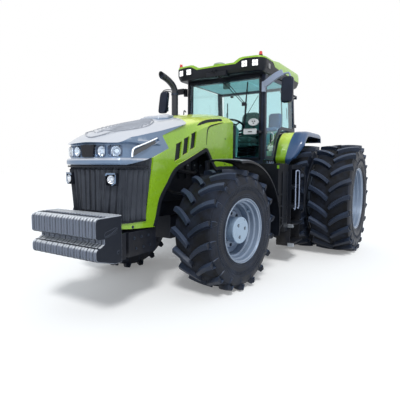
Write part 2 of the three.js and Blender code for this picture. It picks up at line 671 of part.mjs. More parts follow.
function cowl() {
  const face = [
    [-430, CASE.top + SEAT_GAP],
    [430, CASE.top + SEAT_GAP],
    [440, 2230],
    [370, 2290],
    [250, 2340],
    [-250, 2340],
    [-370, 2290],
    [-440, 2230],
  ];
  const { z, x, pin } = HOOD_HINGE;
  const y = HOOD_HINGE_Y;
  const plate = extrude("y", face, HOOD_REAR_Y + 90, HOOD_REAR_Y + 180);
  // The lugs slope down towards the plate, clear of the hood's tail when it is up.
  const lug = [
    [y - 22, z - 22],
    [HOOD_REAR_Y + 100, z - 60],
    [HOOD_REAR_Y + 100, z - 12],
    [y + 12, z + 22],
    [y - 22, z + 22],
  ];
  const lugs = [-1, 1].map((s) =>
    onSide(s, join(
      extrude("x", lug, x + 11 + PANEL_GAP / 2, x + 45),
      cylinder("x", [y, z], pin, x - 11, x + 20, 16),
    )),
  );
  piece("cowl", join(plate, ...lugs), BLACK);
}

// ---------------------------------------------------------------- tanks, steps
function fuelTank(side) {
  const plan = [
    [TANK.inner, TANK.front],
    [TANK.outer - 60, TANK.front],
    [TANK.outer, TANK.front + 60],
    [TANK.outer, TANK.step],
    [TANK.recess, TANK.step],
    [TANK.recess, TANK.rear],
    [TANK.inner, TANK.rear],
  ];
  const body = extrude("z", plan, TANK.bottom, TANK.top);
  const toe = extrude("x", [
    [TANK.front - 10, TANK.bottom - 10],
    [TANK.front - 10, 900],
    [TANK.front + 170, TANK.bottom - 10],
  ], 0, 1400);
  const floorNotch = box(TANK.inner - 1, CAB.half + 10, TANK.front - 1, TANK.rear + 1, CAB.floor - 15, TANK.top + 1);
  const filler = cylinder("z", [990, -1800], 55, TANK.top - 5, TANK.top + 75, 16);
  piece(`fuel_tank_${sideName(side)}`, onSide(side, join(cut(body, toe, floorNotch), filler)), BLACK);
}

function cabSteps() {
  const x0 = TANK.recess + SEAT_GAP;
  const [front, rear] = [TANK.step + 20, TANK.rear - 15];
  const parts = [];
  for (const y of [front, rear - 14]) {
    parts.push(box(x0, 1290, y, y + 14, 640, 1560));
    parts.push(box(1060, 1290, y, y + 14, 330, 660));
  }
  for (const z of [335, 640, 945, 1250]) parts.push(box(z > 700 ? x0 : 1080, 1340, front, rear, z, z + 28));
  parts.push(box(x0, 1300, front, rear, 1540, TANK.top - 5));
  parts.push(bar([[1300, rear - 7, 800], [1352, rear - 7, 850], [1358, rear - 7, 1150], [1358, rear - 7, 1420],
    [1330, rear - 40, 1500], [1290, rear - 60, 1530], [1270, rear - 62, 1570]], 13, 14));
  piece("cab_steps", join(...parts), BLACK);
}

// ---------------------------------------------------------------- cab
function cabTub() {
  const { front, rear, half, floor, sill, shelf } = CAB;
  const wall = 30;
  const inner = FENDER.inner;
  const back = rear + 60;
  const parts = [
    box(-half + 10, half - 10, front + 24, -1060, floor, floor + 60),
    box(-inner, inner, -1070, back, floor, floor + 60),
    // front kick panel and side sills
    box(-half + 10, half - 10, front + 24, front + 60, floor, sill),
    // rear wall
    box(-inner, inner, back - wall, back, floor, shelf),
  ];
  for (const s of [-1, 1]) {
    parts.push(sideBox(s, half - 50, half - 10, front + 24, -1060, floor, sill));
    // wheel-arch wall and the shelf over it
    const arch = [
      [-1062, floor],
      [-1030, 1660],
      [-760, shelf - 60],
      [-690, shelf],
      [back, shelf],
      [back, floor],
    ];
    parts.push(onSide(s, extrude("x", arch, inner - wall, inner)));
    const slope = [
      [-1062, sill - 40],
      [-1062, sill],
      [-1040, sill],
      [-740, shelf],
      [back, shelf],
      [back, shelf - wall],
      [-725, shelf - wall],
      [-1010, sill - 40],
    ];
    parts.push(onSide(s, extrude("x", slope, inner - 10, half - 10)));
  }
  piece("cab_tub", join(...parts), TRIM);
}

/** The plane of the left side's outer faces: x at a given y and z. */
const sideX = (y, z) => 760 + 0.042 * (y + 1500) - 0.011 * (z - CAB.sill);
const pillarAt = (y, z, wide) => [sideX(y, z) - SIDE_CORNER - wide / 2, y];
const SIDE_CORNER = (0.042 * PILLAR) / 2; // how far the plane closes in across half a pillar
const A_PILLAR = { foot: pillarAt(-1500, CAB.sill, PILLAR), head: pillarAt(-1500, CAB.header, PILLAR) };
const C_PILLAR = { foot: pillarAt(-205, CAB.shelf, PILLAR - 10), head: pillarAt(-300, CAB.header, PILLAR - 10) };
const WINDSHIELD_FRONT = A_PILLAR.foot[1] - PILLAR / 2 - SEAT_GAP - GLASS;

function hoops() {
  const top = CAB.header - SEAT_GAP;
  const front = [];
  const rear = [];
  for (const s of [-1, 1]) {
    const [fx, fy] = A_PILLAR.foot;
    const [hx, hy] = A_PILLAR.head;
    front.push(post([s * fx, fy, CAB.sill + SEAT_GAP], [s * hx, hy, top], PILLAR, PILLAR));
    const [rx, ry] = C_PILLAR.foot;
    const [tx, ty] = C_PILLAR.head;
    rear.push(post([s * rx, ry, CAB.shelf + SEAT_GAP], [s * tx, ty, top], PILLAR - 10, PILLAR));
  }
  const [, hy] = A_PILLAR.head;
  front.push(box(-A_PILLAR.head[0], A_PILLAR.head[0], hy - 35, hy + 35, top - 60, top));
  const [, fy] = A_PILLAR.foot;
  front.push(box(-A_PILLAR.foot[0], A_PILLAR.foot[0], fy - 25, fy + 35, CAB.sill + SEAT_GAP, CAB.sill + 40));
  piece("front_hoop", join(...front), BLACK);
  const [, ty] = C_PILLAR.head;
  rear.push(box(-C_PILLAR.head[0], C_PILLAR.head[0], ty - 35, ty + 35, top - 60, top));
  const [, ry] = C_PILLAR.foot;
  rear.push(box(-C_PILLAR.foot[0], C_PILLAR.foot[0], ry - 30, ry + PILLAR / 2, CAB.shelf + SEAT_GAP, CAB.shelf + 45));
  rear.push(...doorHinges(false));
  piece("rear_hoop", join(...rear), BLACK);
}

/** Brackets with pins on the rear pillar, or the door's ears round those pins. */
function doorHinges(onDoor) {
  const { hingeX: x, hingeY: y, pin, hinges } = DOOR;
  const high = 30;
  return hinges.flatMap((z) => {
    const pillarY = C_PILLAR.foot[1] + ((C_PILLAR.head[1] - C_PILLAR.foot[1]) * (z - CAB.shelf)) / (CAB.header - CAB.shelf);
    if (onDoor) {
      const ear = box(x - 16, x + 14, pillarY + 5, y + 16, z + high + RUNNING_GAP, z + 2 * high);
      return cut(ear, cylinder("z", [x, y], pin + BORE_GAP, z, z + 3 * high, 16));
    }
    return [
      box(770, 798, pillarY + PILLAR / 2 - 4, y + 16, z, z + high),
      box(770, x + 16, y - 22, y + 16, z, z + high),
      cylinder("z", [x, y], pin, z + high - 1, z + 2 * high, 16),
    ];
  });
}

function glazing() {
  const [fx] = A_PILLAR.foot;
  const [hx] = A_PILLAR.head;
  const wind = [
    [-fx, CAB.sill - 5],
    [fx, CAB.sill - 5],
    [hx, CAB.header - 6],
    [-hx, CAB.header - 6],
  ];
  piece("windshield", extrude("y", wind, WINDSHIELD_FRONT, WINDSHIELD_FRONT + GLASS), TINTED);

  const [rx, ry] = C_PILLAR.foot;
  const [tx, ty] = C_PILLAR.head;
  const y1 = Math.max(ry, ty) + PILLAR / 2 + SEAT_GAP;
  const back = [
    [-rx + 40, CAB.shelf + 20],
    [rx - 40, CAB.shelf + 20],
    [tx - 30, CAB.header - 20],
    [-tx + 30, CAB.header - 20],
  ];
  piece("rear_window", extrude("y", back, y1, y1 + GLASS), TINTED);
  // The right side window lies in the plane of the pillars' outer faces.
  piece("right_window", solidMirror(sidePane(0, SEAT_GAP, GLASS)), TINTED);
}

/** A pane over the left side opening, from `out` to `out + thick` beyond the pillars, inset from its edges. */
function sidePane(inset, out, thick) {
  const y0 = A_PILLAR.foot[1] - PILLAR / 2 + 6 + inset;
  const rearAt = (z) => {
    const t = (z - CAB.shelf) / (CAB.header - CAB.shelf);
    return C_PILLAR.foot[1] + (C_PILLAR.head[1] - C_PILLAR.foot[1]) * t + PILLAR / 2 - 12 - inset;
  };
  const top = CAB.header - 12 - inset;
  const bottom = DOOR.bottom - 10 + inset;
  const corners = [
    [y0, bottom],
    [rearAt(bottom), bottom],
    [rearAt(top), top],
    [y0, top],
  ];
  const rings = [out, out + thick].map((extra) => corners.map(([y, z]) => [sideX(y, z) + extra, y, z]));
  // The lower rear corner is cut along the wheel arch.
  const arch = [
    [-1190 - inset * 0.5, 1500],
    [-1190 - inset * 0.5, CAB.sill - 5 + inset],
    [-1050 - inset * 0.8, 2040 + inset * 0.4],
    [-890 - inset * 0.5, 2200 + inset * 0.9],
    [-810, 2240 + inset],
    [100, 2240 + inset],
    [100, 1500],
  ];
  return cut(loft(rings), extrude("x", arch, 500, 1100));
}

function door() {
  const group = new THREE.Group();
  rearAxleFrame.add(group);
  const leaf = sidePane(0, PANEL_GAP, DOOR.thickness);
  const light = sidePane(DOOR.frame, -20, DOOR.thickness + 80);
  piece("door_frame", join(cut(leaf, light), ...doorHinges(true)), BLACK, group);
  const rebate = DOOR.frame + SEAT_GAP;
  piece("door_glass", sidePane(rebate, PANEL_GAP + 12, GLASS), TINTED, group);
}

function roof() {
  const { half, front, rear, bottom, band, top, valley } = ROOF;
  const corner = 110;
  const ring = (z, inset, frontIn, rearIn) => {
    const [x, y0, y1] = [half - inset, front + frontIn, rear - rearIn];
    return [
      [-x + corner, y0],
      [x - corner, y0],
      [x, y0 + corner],
      [x, y1 - corner],
      [x - corner, y1],
      [-x + corner, y1],
      [-x, y1 - corner],
      [-x, y0 + corner],
    ].map(([px, py]) => [px, py, z]);
  };
  const brow = loft([ring(bottom, 55, 60, 60), ring(bottom + 60, 12, 12, 12), ring(band, 0, 0, 0)]);
  piece("roof_visor", brow, BLACK);

  const capBase = band + SEAT_GAP;
  const cap = loft([
    ring(capBase, 0, 0, 0),
    ring(band + 60, 6, 12, 12),
    ring(top - 20, 70, 110, 110),
    ring(top, 150, 200, 200),
  ]);
  // The middle of the front edge dips to a floor that carries the receiver, then climbs back.
  const floor = band + 12;
  const dip = (y, z) => [[-valley - 120, y, top + 60], [-valley, y, z], [valley, y, z], [valley + 120, y, top + 60]];
  const trough = loft([dip(front - 20, floor), dip(front + 290, floor), dip(front + 620, top + 10)]);
  // Each beacon stands on a level pad let into the cap's shoulder.
  const pad = (s, z0, z1) => cylinder("z", [s * BEACON.x, front + BEACON.back], BEACON.radius + 12, z0, z1, 16);
  const pads = [-1, 1].map((s) => pad(s, capBase, BEACON.z));
  const wells = [-1, 1].map((s) => pad(s, BEACON.z, top + 60));
  piece("cab_roof", cut(join(cap, ...pads), trough, ...wells), LIME);
  for (const s of [-1, 1]) {
    const z = BEACON.z + SEAT_GAP;
    const at = [s * BEACON.x, front + BEACON.back];
    const lamp = join(
      cylinder("z", at, BEACON.radius, z, z + 18, 16),
      cylinder("z", at, BEACON.radius - 8, z + 10, z + 75, 16, BEACON.radius - 14),
    );
    piece(`beacon_${sideName(s)}`, lamp, RED);
  }
  const disc = ([dz, r]) =>
    Array.from({ length: 16 }, (_, i) => {
      const angle = (2 * Math.PI * i) / 16;
      return [r * Math.cos(angle), front + 150 + r * Math.sin(angle), floor + SEAT_GAP + dz];
    });
  piece("gps_receiver", loft([[0, 100], [25, 105], [60, 60]].map(disc)), LAMP);
}

// ---------------------------------------------------------------- cab fittings
const STEERING = { y: -1130, z: 2330, tilt: 28, radius: 200 };
const SEAT_Y = -620;

/** The steering column, up to just under the steering wheel's hub. */
function tiltedColumn() {
  const g = new THREE.CylinderGeometry(30, 30, 200, 16).translate(0, -100, 0).rotateX(Math.PI / 2);
  g.translate(0, 0, -22 - RUNNING_GAP).rotateX(-THREE.MathUtils.degToRad(STEERING.tilt));
  return solid(g.translate(0, STEERING.y, STEERING.z));
}

function interior() {
  const floor = CAB.floor + 60 + SEAT_GAP;
  const dash = join(
    extrude("x", [
      [-1420, floor],
      [-1300, floor],
      [-1225, 2140],
      [-1200, 2230],
      [-1330, 2310],
      [-1430, 2260],
    ], -150, 150),
    tiltedColumn(),
  );
  piece("dashboard", dash, TRIM);

  // The wheel sits on a column along its own axis.
  const group = new THREE.Group();
  group.position.set(0, STEERING.y, STEERING.z);
  group.rotation.x = -THREE.MathUtils.degToRad(STEERING.tilt);
  rearAxleFrame.add(group);
  const ring = solid(new THREE.TorusGeometry(STEERING.radius, 15, 8, 28));
  const hub = cylinder("z", [0, 0], 48, -22, 10, 16);
  const spokes = [0, 120, 240].map((deg) => {
    const a = THREE.MathUtils.degToRad(deg + 90);
    const g = new THREE.BoxGeometry(STEERING.radius - 20, 34, 12);
    return solid(g.translate((STEERING.radius) / 2, 0, -4).rotateZ(a));
  });
  piece("steering_wheel", join(ring, hub, ...spokes), BLACK, group);

  const base = join(
    box(-200, 200, SEAT_Y - 230, SEAT_Y + 230, floor, floor + 90),
    box(-140, 140, SEAT_Y - 180, SEAT_Y + 180, floor + 80, 1980),
    box(-225, 225, SEAT_Y - 220, SEAT_Y + 230, 1970, 2000),
    // right armrest with its lever console
    box(-330, -225 + 1, SEAT_Y - 100, SEAT_Y + 160, 1975, 2000),
    box(-330, -290, SEAT_Y + 40, SEAT_Y + 110, 1990, 2230),
    box(-345, -262, SEAT_Y - 330, SEAT_Y + 170, 2215, 2270),
  );
  piece("seat_base", base, BLACK);
  const cushionTop = 2125;
  const seat = join(
    box(-245, 245, SEAT_Y - 260, SEAT_Y + 230, 2000 + SEAT_GAP, cushionTop),
    extrude("x", [
      [SEAT_Y + 130, cushionTop - 10],
      [SEAT_Y + 240, cushionTop - 10],
      [SEAT_Y + 330, 2790],
      [SEAT_Y + 240, 2800],
      [SEAT_Y + 215, 2760],
    ], -235, 235),
  );
  piece("operator_seat", seat, SEAT_CLOTH);
  const shelfTop = CAB.shelf + SEAT_GAP;
  const mate = join(
    box(335, 660, -700, -330, shelfTop, shelfTop + 70),
    box(355, 640, -380, -300, shelfTop + 60, 2640),
  );
  piece("passenger_seat", mate, SEAT_CLOTH);
}

// ---------------------------------------------------------------- fenders, stack, mirrors, lamps
/** The rear fender: a flat-topped arch outside the cab with a lip along its outer edge. */
function rearFender(side) {
  const { top, half, wall } = FENDER;
  const inner = CAB.half - 10 + SEAT_GAP;
  const outer = [
    [-985, 1600],
    [-1060, 1700],
    [-930, 1990],
    [-760, top - 40],
    [-640, top],
    [60, top],
    [190, top - 8],
    [240, top - 60],
    [258, top - 165],
  ];
  const under = [
    [228, top - 165],
    [212, top - 68],
    [178, top - 8 - wall],
    [55, top - wall],
    [-630, top - wall],
    [-745, top - 40 - wall],
    [-905, 1985],
    [-1030, 1700],
    [-960, 1605],
  ];
  const sheet = extrude("x", [...outer, ...under], inner, half);
  const lipUnder = [
    [180, top - 165],
    [165, top - 110],
    [50, top - 85],
    [-610, top - 85],
    [-700, top - 110],
    [-860, 1955],
    [-985, 1700],
    [-945, 1640],
  ];
  const lip = extrude("x", [...outer, ...lipUnder], half - 18, half);
  // The lower front runs in towards the cab.
  const sweep = extrude("y", [
    [1010, 1500],
    [1010, 1600],
    [1180, 1850],
    [half, 1990],
    [half + 50, 1990],
    [half + 50, 1500],
  ], -1200, -600);
  // It bolts to the cab's wheel-arch wall.
  const flangeOutline = [
    [-960, 1640],
    [-1000, 1700],
    [-745, 2170],
    [-640, top - 5],
    [60, top - 5],
    [60, top - 110],
    [-600, top - 110],
    [-800, 1900],
  ];
  const flange = extrude("x", flangeOutline, inner, inner + wall);
  piece(`rear_fender_${sideName(side)}`, onSide(side, cut(join(sheet, lip, flange), sweep)), LIME);
}

function exhaust() {
  const [x, y, r] = [-800, -1880, 62];
  const foot = cylinder("z", [x, y], 95, TANK.top + SEAT_GAP, TANK.top + 60, 20);
  const can = cylinder("z", [x, y], 90, TANK.top + 40, 2150, 20);
  const pipe = cylinder("z", [x, y], r, 2100, 2930, 16);
  const elbow = bar([
    [x, y, 2900],
    [x - 4, y - 14, 2955],
    [x - 20, y - 75, 3030],
    [x - 45, y - 165, 3090],
    [x - 75, y - 270, 3135],
  ], r, 8, 8);
  const bore = bar([
    [x - 10, y - 40, 2990],
    [x - 20, y - 75, 3030],
    [x - 45, y - 165, 3090],
    [x - 81, y - 290, 3143],
  ], r - 8, 6, 8);
  piece("exhaust_stack", cut(join(foot, can, pipe, elbow), bore), BLACK);
}

const MIRROR_REACH = { left: 1185, right: 1255 };

function mirrors() {
  for (const s of [-1, 1]) {
    const y = -1605;
    const z = ROOF.bottom - SEAT_GAP;
    const reach = s > 0 ? MIRROR_REACH.left : MIRROR_REACH.right;
    const arm = join(
      box(700, 785, y - 40, y + 40, z - 30, z),
      bar([[750, y, z - 24], [900, y - 8, z - 26], [1120, y - 10, z - 40], [reach, y - 10, z - 75],
        [reach, y - 10, z - 160]], 15, 8),
      bar([[740, y, z - 24], [860, y - 8, z - 80], [1120, y - 10, z - 80], [reach, y - 10, z - 120]], 11, 6),
    );
    const head = loft([
      mirrorRing(reach, y - 10, z - 510, 70, 28),
      mirrorRing(reach, y - 10, z - 470, 95, 45),
      mirrorRing(reach, y - 10, z - 160, 98, 48),
      mirrorRing(reach, y - 10, z - 115, 75, 30),
    ]);
    piece(`mirror_${sideName(s)}`, onSide(s, join(arm, head)), BLACK);

    const x = 585;
    const back = A_PILLAR.foot[1] - PILLAR / 2 - SEAT_GAP;
    const front = WINDSHIELD_FRONT - 50;
    const lamp = join(
      box(x - 85, A_PILLAR.foot[0] + 30, front - 90, front - 50, 2115, 2170),
      box(x + 5, x + 130, front - 130, front - 60, 2240, 2370),
      box(x + 40, x + 90, front - 100, front - 60, 2150, 2250),
      box(A_PILLAR.foot[0] + 8, A_PILLAR.foot[0] + 30, front - 60, back, 2120, 2175),
    );
    piece(`side_lamp_${sideName(s)}`, onSide(s, lamp), LAMP);
  }
}

function mirrorRing(x, y, z, wide, deep) {
  return Array.from({ length: 12 }, (_, i) => {
    const a = (2 * Math.PI * (i + 0.5)) / 12;
    const c = Math.cos(a);
    const k = Math.sin(a);
    const square = (v) => Math.sign(v) * Math.abs(v) ** 0.6;
    return [x + wide * square(c), y + deep * square(k), z];
  });
}

// ---------------------------------------------------------------- three-point linkage
function hitch() {
  const { pivotY, pivotZ, arm, x, rockerY, rockerZ } = HITCH;
  // Rockshaft and its two arms.
  const shaftEnd = x + 40;
  const arms = [cylinder("x", [rockerY, rockerZ], ROCKSHAFT, -shaftEnd, shaftEnd, 20)];
  for (const s of [-1, 1]) {
    const tip = [rockerY + arm, rockerZ];
    const half = 34;
    arms.push(
      onSide(s, extrude("x", [
        [rockerY - 50, rockerZ - 50],
        [tip[0] + half, tip[1] - half],
        [tip[0] + half, tip[1] + half],
        [rockerY - 50, rockerZ + 50],
      ], x + 5, x + 40)),
      onSide(s, cylinder("x", tip, 14, x - 34, x + 10, 16)),
    );
  }
  piece("lift_arms", join(...arms), CAST);
  const link = [pivotY + HITCH.length, pivotZ];
  for (const s of [-1, 1]) {
    const hang = [pivotY + arm, pivotZ];
    const tip = [rockerY + arm, rockerZ];
    const eyes = [hang, tip];
    const rodX = [x - 28, x - 4];
    const rod = join(
      ...eyes.map((p) => onSide(s, cylinder("x", p, 30, rodX[0], rodX[1], 20))),
      onSide(s, loft([rodRing(hang, rodX, 20), rodRing(tip, rodX, -20)])),
    );
    const holes = eyes.map((p) => onSide(s, cylinder("x", p, 14 + BORE_GAP, rodX[0] - 5, rodX[1] + 5, 16)));
    piece(`lift_rod_${sideName(s)}`, cut(rod, ...holes), STEEL);
    const blade = extrude("x", [
      [pivotY, pivotZ - 38],
      [link[0], link[1] - 45],
      [link[0], link[1] + 45],
      [pivotY, pivotZ + 38],
    ], x - 2, x + 22);
    const lower = cut(
      join(
        onSide(s, blade),
        onSide(s, cylinder("x", [pivotY, pivotZ], 42, x - 2, x + 22, 20)),
        onSide(s, cylinder("x", link, LINK_EYE, x - 8, x + 28, 20)),
        onSide(s, cylinder("x", hang, 13.5, x - 34, x, 16)),
      ),
      onSide(s, cylinder("x", [pivotY, pivotZ], 18 + BORE_GAP, x - 40, x + 40, 16)),
      onSide(s, cylinder("x", link, 19, x - 40, x + 40, 16)),
    );
    piece(`lower_link_${sideName(s)}`, lower, CAST);
  }
}

function rodRing([y, z], [x0, x1], lift) {
  return [
    [x0, y - 16, z + lift],
    [x1, y - 16, z + lift],
    [x1, y + 16, z + lift],
    [x0, y + 16, z + lift],
  ];
}

function topLink() {
  const y = CASE.rear + 60 + SEAT_GAP;
  const body = join(
    box(-26, 26, y, y + 52, 1060, 1110),
    cylinder("z", [0, y + 30], 24, 1080, 1560, 16),
    cylinder("x", [y + 30, 1590], 40, -24, 24, 20),
  );
  piece("top_link", body, STEEL);
}

// ---------------------------------------------------------------- put it together
weights();
weightCarrier();
frontFrame();
engine();
frontAxle();
rearHousing();
drawbar();
tieRod();
for (const side of [1, -1]) {
  frontWheel(side, knuckle(side));
  rearWheels(side);
  fuelTank(side);
  rearFender(side);
}
hood();
cowl();
cabSteps();
cabTub();
hoops();
glazing();
door();
roof();
interior();
exhaust();
mirrors();
hitch();
topLink();

// The origin goes to the middle of the length.
rearAxleFrame.position.y = -(WEIGHTS.front + REAR_END) / 2;

export default tractor;
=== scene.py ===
"""A row-crop farm tractor on front singles and rear duals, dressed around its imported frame.

Metres, +Z up, the nose points to -Y and the driver's left is +X. Lengths along the machine are
given from the rear axle line, as at(x, y, z), and the frame says where that line is.
"""

import json
import math

import bmesh
import bpy
from mathutils import Matrix, Vector


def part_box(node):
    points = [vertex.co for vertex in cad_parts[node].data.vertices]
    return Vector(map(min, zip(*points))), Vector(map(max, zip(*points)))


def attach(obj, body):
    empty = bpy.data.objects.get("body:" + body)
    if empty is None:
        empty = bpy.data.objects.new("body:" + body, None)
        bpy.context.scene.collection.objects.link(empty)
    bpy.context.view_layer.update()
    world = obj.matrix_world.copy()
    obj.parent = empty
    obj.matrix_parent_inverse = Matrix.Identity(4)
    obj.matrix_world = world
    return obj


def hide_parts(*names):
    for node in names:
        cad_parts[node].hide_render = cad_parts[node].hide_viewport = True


bl_info = {
    "name": "Farm Tractor",
    "version": (1, 0, 0),
    "blender": (4, 5, 0),
    "location": "View3D > Sidebar > Tractor",
    "description": "Dresses the tractor's frame with tyres, panels, cab, lamps and fittings",
    "category": "Object",
}

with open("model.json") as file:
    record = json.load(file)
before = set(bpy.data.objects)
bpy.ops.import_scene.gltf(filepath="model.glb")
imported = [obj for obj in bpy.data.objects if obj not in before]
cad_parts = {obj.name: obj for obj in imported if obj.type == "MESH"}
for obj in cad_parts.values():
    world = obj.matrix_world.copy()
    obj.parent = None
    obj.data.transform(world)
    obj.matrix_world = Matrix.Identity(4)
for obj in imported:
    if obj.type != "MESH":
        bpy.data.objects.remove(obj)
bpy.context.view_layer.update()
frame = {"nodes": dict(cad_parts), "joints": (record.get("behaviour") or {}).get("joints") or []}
JOINTS = {j["name"]: j for j in frame["joints"]}
REAR_AXLE = Vector(JOINTS["rear_wheel_spin_left"]["pos_m"])
FRONT_SPIN = {s: Vector(JOINTS[f"front_wheel_spin_{s}"]["pos_m"]) for s in ("left", "right")}
SIDES = (("left", 1), ("right", -1))
WELD = 1e-5  # points nearer than this are one point
FLAT_WELD = 2e-5
POINT_RADIUS = 1e-5  # a turned shape narrows to this where its radius is 0


def at(x, y, z):
    """A point whose y is measured from the rear axle line."""
    return Vector((x, y + REAR_AXLE.y, z))


def from_axle(y):
    """The frame's y of a place given from the rear axle line."""
    return y + REAR_AXLE.y


def frame_plan(outline):
    """An (x, y) outline given from the rear axle line, in the frame's y."""
    return [(x, from_axle(y)) for x, y in outline]


def circle(steps):
    """Angles that go once round, in even steps."""
    return [2 * math.pi * k / steps for k in range(steps)]


# ---------------------------------------------------------------- shapes
class Shape:
    """The closed solids of one piece, each with its own material slot."""

    def __init__(self):
        self.verts, self.faces, self.slots = [], [], []

    def add(self, verts, faces, slot=0):
        base = len(self.verts)
        self.verts += [Vector(v) for v in verts]
        self.faces += [tuple(base + i for i in face) for face in faces]
        self.slots += [slot] * len(faces)
        return self

    def join(self, other, slot=None):
        base = len(self.verts)
        self.verts += other.verts
        self.faces += [tuple(base + i for i in face) for face in other.faces]
        self.slots += other.slots if slot is None else [slot] * len(other.faces)
        return self

    def moved(self, matrix):
        """A copy of it under a matrix; a mirroring one turns the faces round."""
        copy = Shape()
        flip = matrix.to_3x3().determinant() < 0
        copy.verts = [matrix @ v for v in self.verts]
        copy.faces = [f[::-1] if flip else f for f in self.faces]
        copy.slots = list(self.slots)
        return copy

    def mirrored(self):
        return self.moved(Matrix.Diagonal((-1, 1, 1, 1)))

    def both(self):
        """It and its mirror image on the other side."""
        return self.join(self.mirrored())

    def on(self, side):
        return self if side > 0 else self.mirrored()

    def rings(self, rings, slot=0, caps=True, closed=False):
        """Skins rings of equal count, in order; closed joins the last ring to the first."""
        n, count = len(rings[0]), len(rings)
        faces = []
        for i in range(count if closed else count - 1):
            a, b = i * n, ((i + 1) % count) * n
            faces += [(a + k, a + (k + 1) % n, b + (k + 1) % n, b + k) for k in range(n)]
        if caps and not closed:
            faces.append(tuple(range(n))[::-1])
            faces.append(tuple((count - 1) * n + k for k in range(n)))
        return self.add([p for ring in rings for p in ring], faces, slot)

    def box(self, lo, hi, slot=0):
        (x0, y0, z0), (x1, y1, z1) = lo, hi
        ring = [(x0, y0), (x1, y0), (x1, y1), (x0, y1)]
        return self.rings([[(x, y, z) for x, y in ring] for z in (z0, z1)], slot)

    def prism(self, axis, outline, start, end, slot=0):
        """An outline run along one axis: (y, z) for x, (x, z) for y and (x, y) for z."""
        def place(u, v, w):
            return {"x": (w, u, v), "y": (u, w, v), "z": (u, v, w)}[axis]
        return self.rings([[place(u, v, w) for u, v in outline] for w in (start, end)], slot)

    def lathe(self, profile, centre, axis, segments=32, slot=0, closed=False):
        """Turns (along, radius) pairs round an axis through centre; radius 0 ends in a point."""
        axis = Vector(axis).normalized()
        u = axis.orthogonal().normalized()
        if abs(axis.z) < 0.9:
            u = Vector((0, 0, 1)) - axis * axis.z
            u.normalize()
        w = axis.cross(u)
        centre = Vector(centre)
        rings = []
        for along, radius in profile:
            radius = max(radius, POINT_RADIUS)
            rings.append([centre + axis * along + u * (radius * math.cos(t)) + w * (radius * math.sin(t))
                          for t in circle(segments)])
        return self.rings(rings, slot, closed=closed)

    def disc(self, centre, axis, radius, depth, slot=0, segments=24, chamfer=0.0):
        """A round plate standing depth along axis from centre, its outer edge chamfered."""
        edge = [(depth - chamfer, radius), (depth, radius - chamfer)] if chamfer else [(depth, radius)]
        return self.lathe([(0, radius), *edge], centre, axis, segments, slot)

    def bolt(self, centre, axis, radius, slot=0, washer=1.5):
        """A hexagon head on its washer."""
        axis = Vector(axis).normalized()
        self.disc(centre, axis, radius * washer, radius * 0.25, slot, 16)
        return self.disc(Vector(centre) + axis * radius * 0.25, axis, radius, radius * 0.9, slot, 6, radius * 0.2)

    def tube(self, path, radius, sides=8, slot=0, closed=False):
        """A round bar along points; radius is one number or one for each point."""
        path = [Vector(p) for p in path]
        count = len(path)
        radii = radius if isinstance(radius, (list, tuple)) else [radius] * count
        rings, across = [], None
        for i, p in enumerate(path):
            before = path[i - 1 if i or closed else 0]
            after = path[(i + 1) % count if closed else min(i + 1, count - 1)]
            along = (after - before).normalized()
            if across is None:
                across = along.orthogonal().normalized()
            across = (across - along * across.dot(along)).normalized()
            other = along.cross(across)
            rings.append([p + (across * math.cos(t) + other * math.sin(t)) * radii[i] for t in circle(sides)])
        return self.rings(rings, slot, closed=closed)

    def strip(self, path, width, depth, across, slot=0):
        """A flat bar along points: width lies along the vector across, depth at right angles."""
        path = [Vector(p) for p in path]
        across = Vector(across).normalized() * (width / 2)
        rings = []
        for i, p in enumerate(path):
            along = path[min(i + 1, len(path) - 1)] - path[max(i - 1, 0)]
            out = along.cross(across).normalized() * (depth / 2)
            rings.append([p - across - out, p + across - out, p + across + out, p - across + out])
        return self.rings(rings, slot)


def arc(centre, radius, start, end, steps):
    """Points on a circle in a plane, angles in degrees."""
    turn = [math.radians(start + (end - start) * i / steps) for i in range(steps + 1)]
    return [(centre[0] + radius * math.cos(t), centre[1] + radius * math.sin(t)) for t in turn]


def rounded(x0, x1, y0, y1, radius, steps=4):
    """A rectangle with round corners, as an outline."""
    corners = [(x1 - radius, y1 - radius, 0), (x0 + radius, y1 - radius, 90),
               (x0 + radius, y0 + radius, 180), (x1 - radius, y0 + radius, 270)]
    return [p for cx, cy, turn in corners for p in arc((cx, cy), radius, turn, turn + 90, steps)]


def smooth_path(points, steps=6):
    """A Catmull-Rom curve through points."""
    pts = [Vector(p) for p in points]
    pts = [pts[0] * 2 - pts[1], *pts, pts[-1] * 2 - pts[-2]]
    out = []
    for i in range(1, len(pts) - 2):
        a, b, c, d = pts[i - 1:i + 3]
        for k in range(steps):
            t = k / steps
            out.append(0.5 * ((2 * b) + (c - a) * t + (2 * a - 5 * b + 4 * c - d) * t * t
                              + (3 * b - 3 * c + d - a) * t ** 3))
    return [*out, pts[-2]]


def loop_object(name, shape):
    """A bare object of a shape, its normals facing out."""
    mesh = bpy.data.meshes.new(name)
    mesh.from_pydata([tuple(v) for v in shape.verts], [], shape.faces)
    mesh.polygons.foreach_set("material_index", shape.slots)
    work = bmesh.new()
    work.from_mesh(mesh)
    bmesh.ops.remove_doubles(work, verts=work.verts, dist=WELD)
    bmesh.ops.recalc_face_normals(work, faces=work.faces)
    work.to_mesh(mesh)
    work.free()
    obj = bpy.data.objects.new(name, mesh)
    bpy.context.scene.collection.objects.link(obj)
    return obj


def settle(obj):
    """Applies the object's modifiers to its mesh."""
    bpy.context.view_layer.update()
    done = bpy.data.meshes.new_from_object(obj.evaluated_get(bpy.context.evaluated_depsgraph_get()))
    obj.modifiers.clear()
    old, obj.data = obj.data, done
    bpy.data.meshes.remove(old)
    return obj


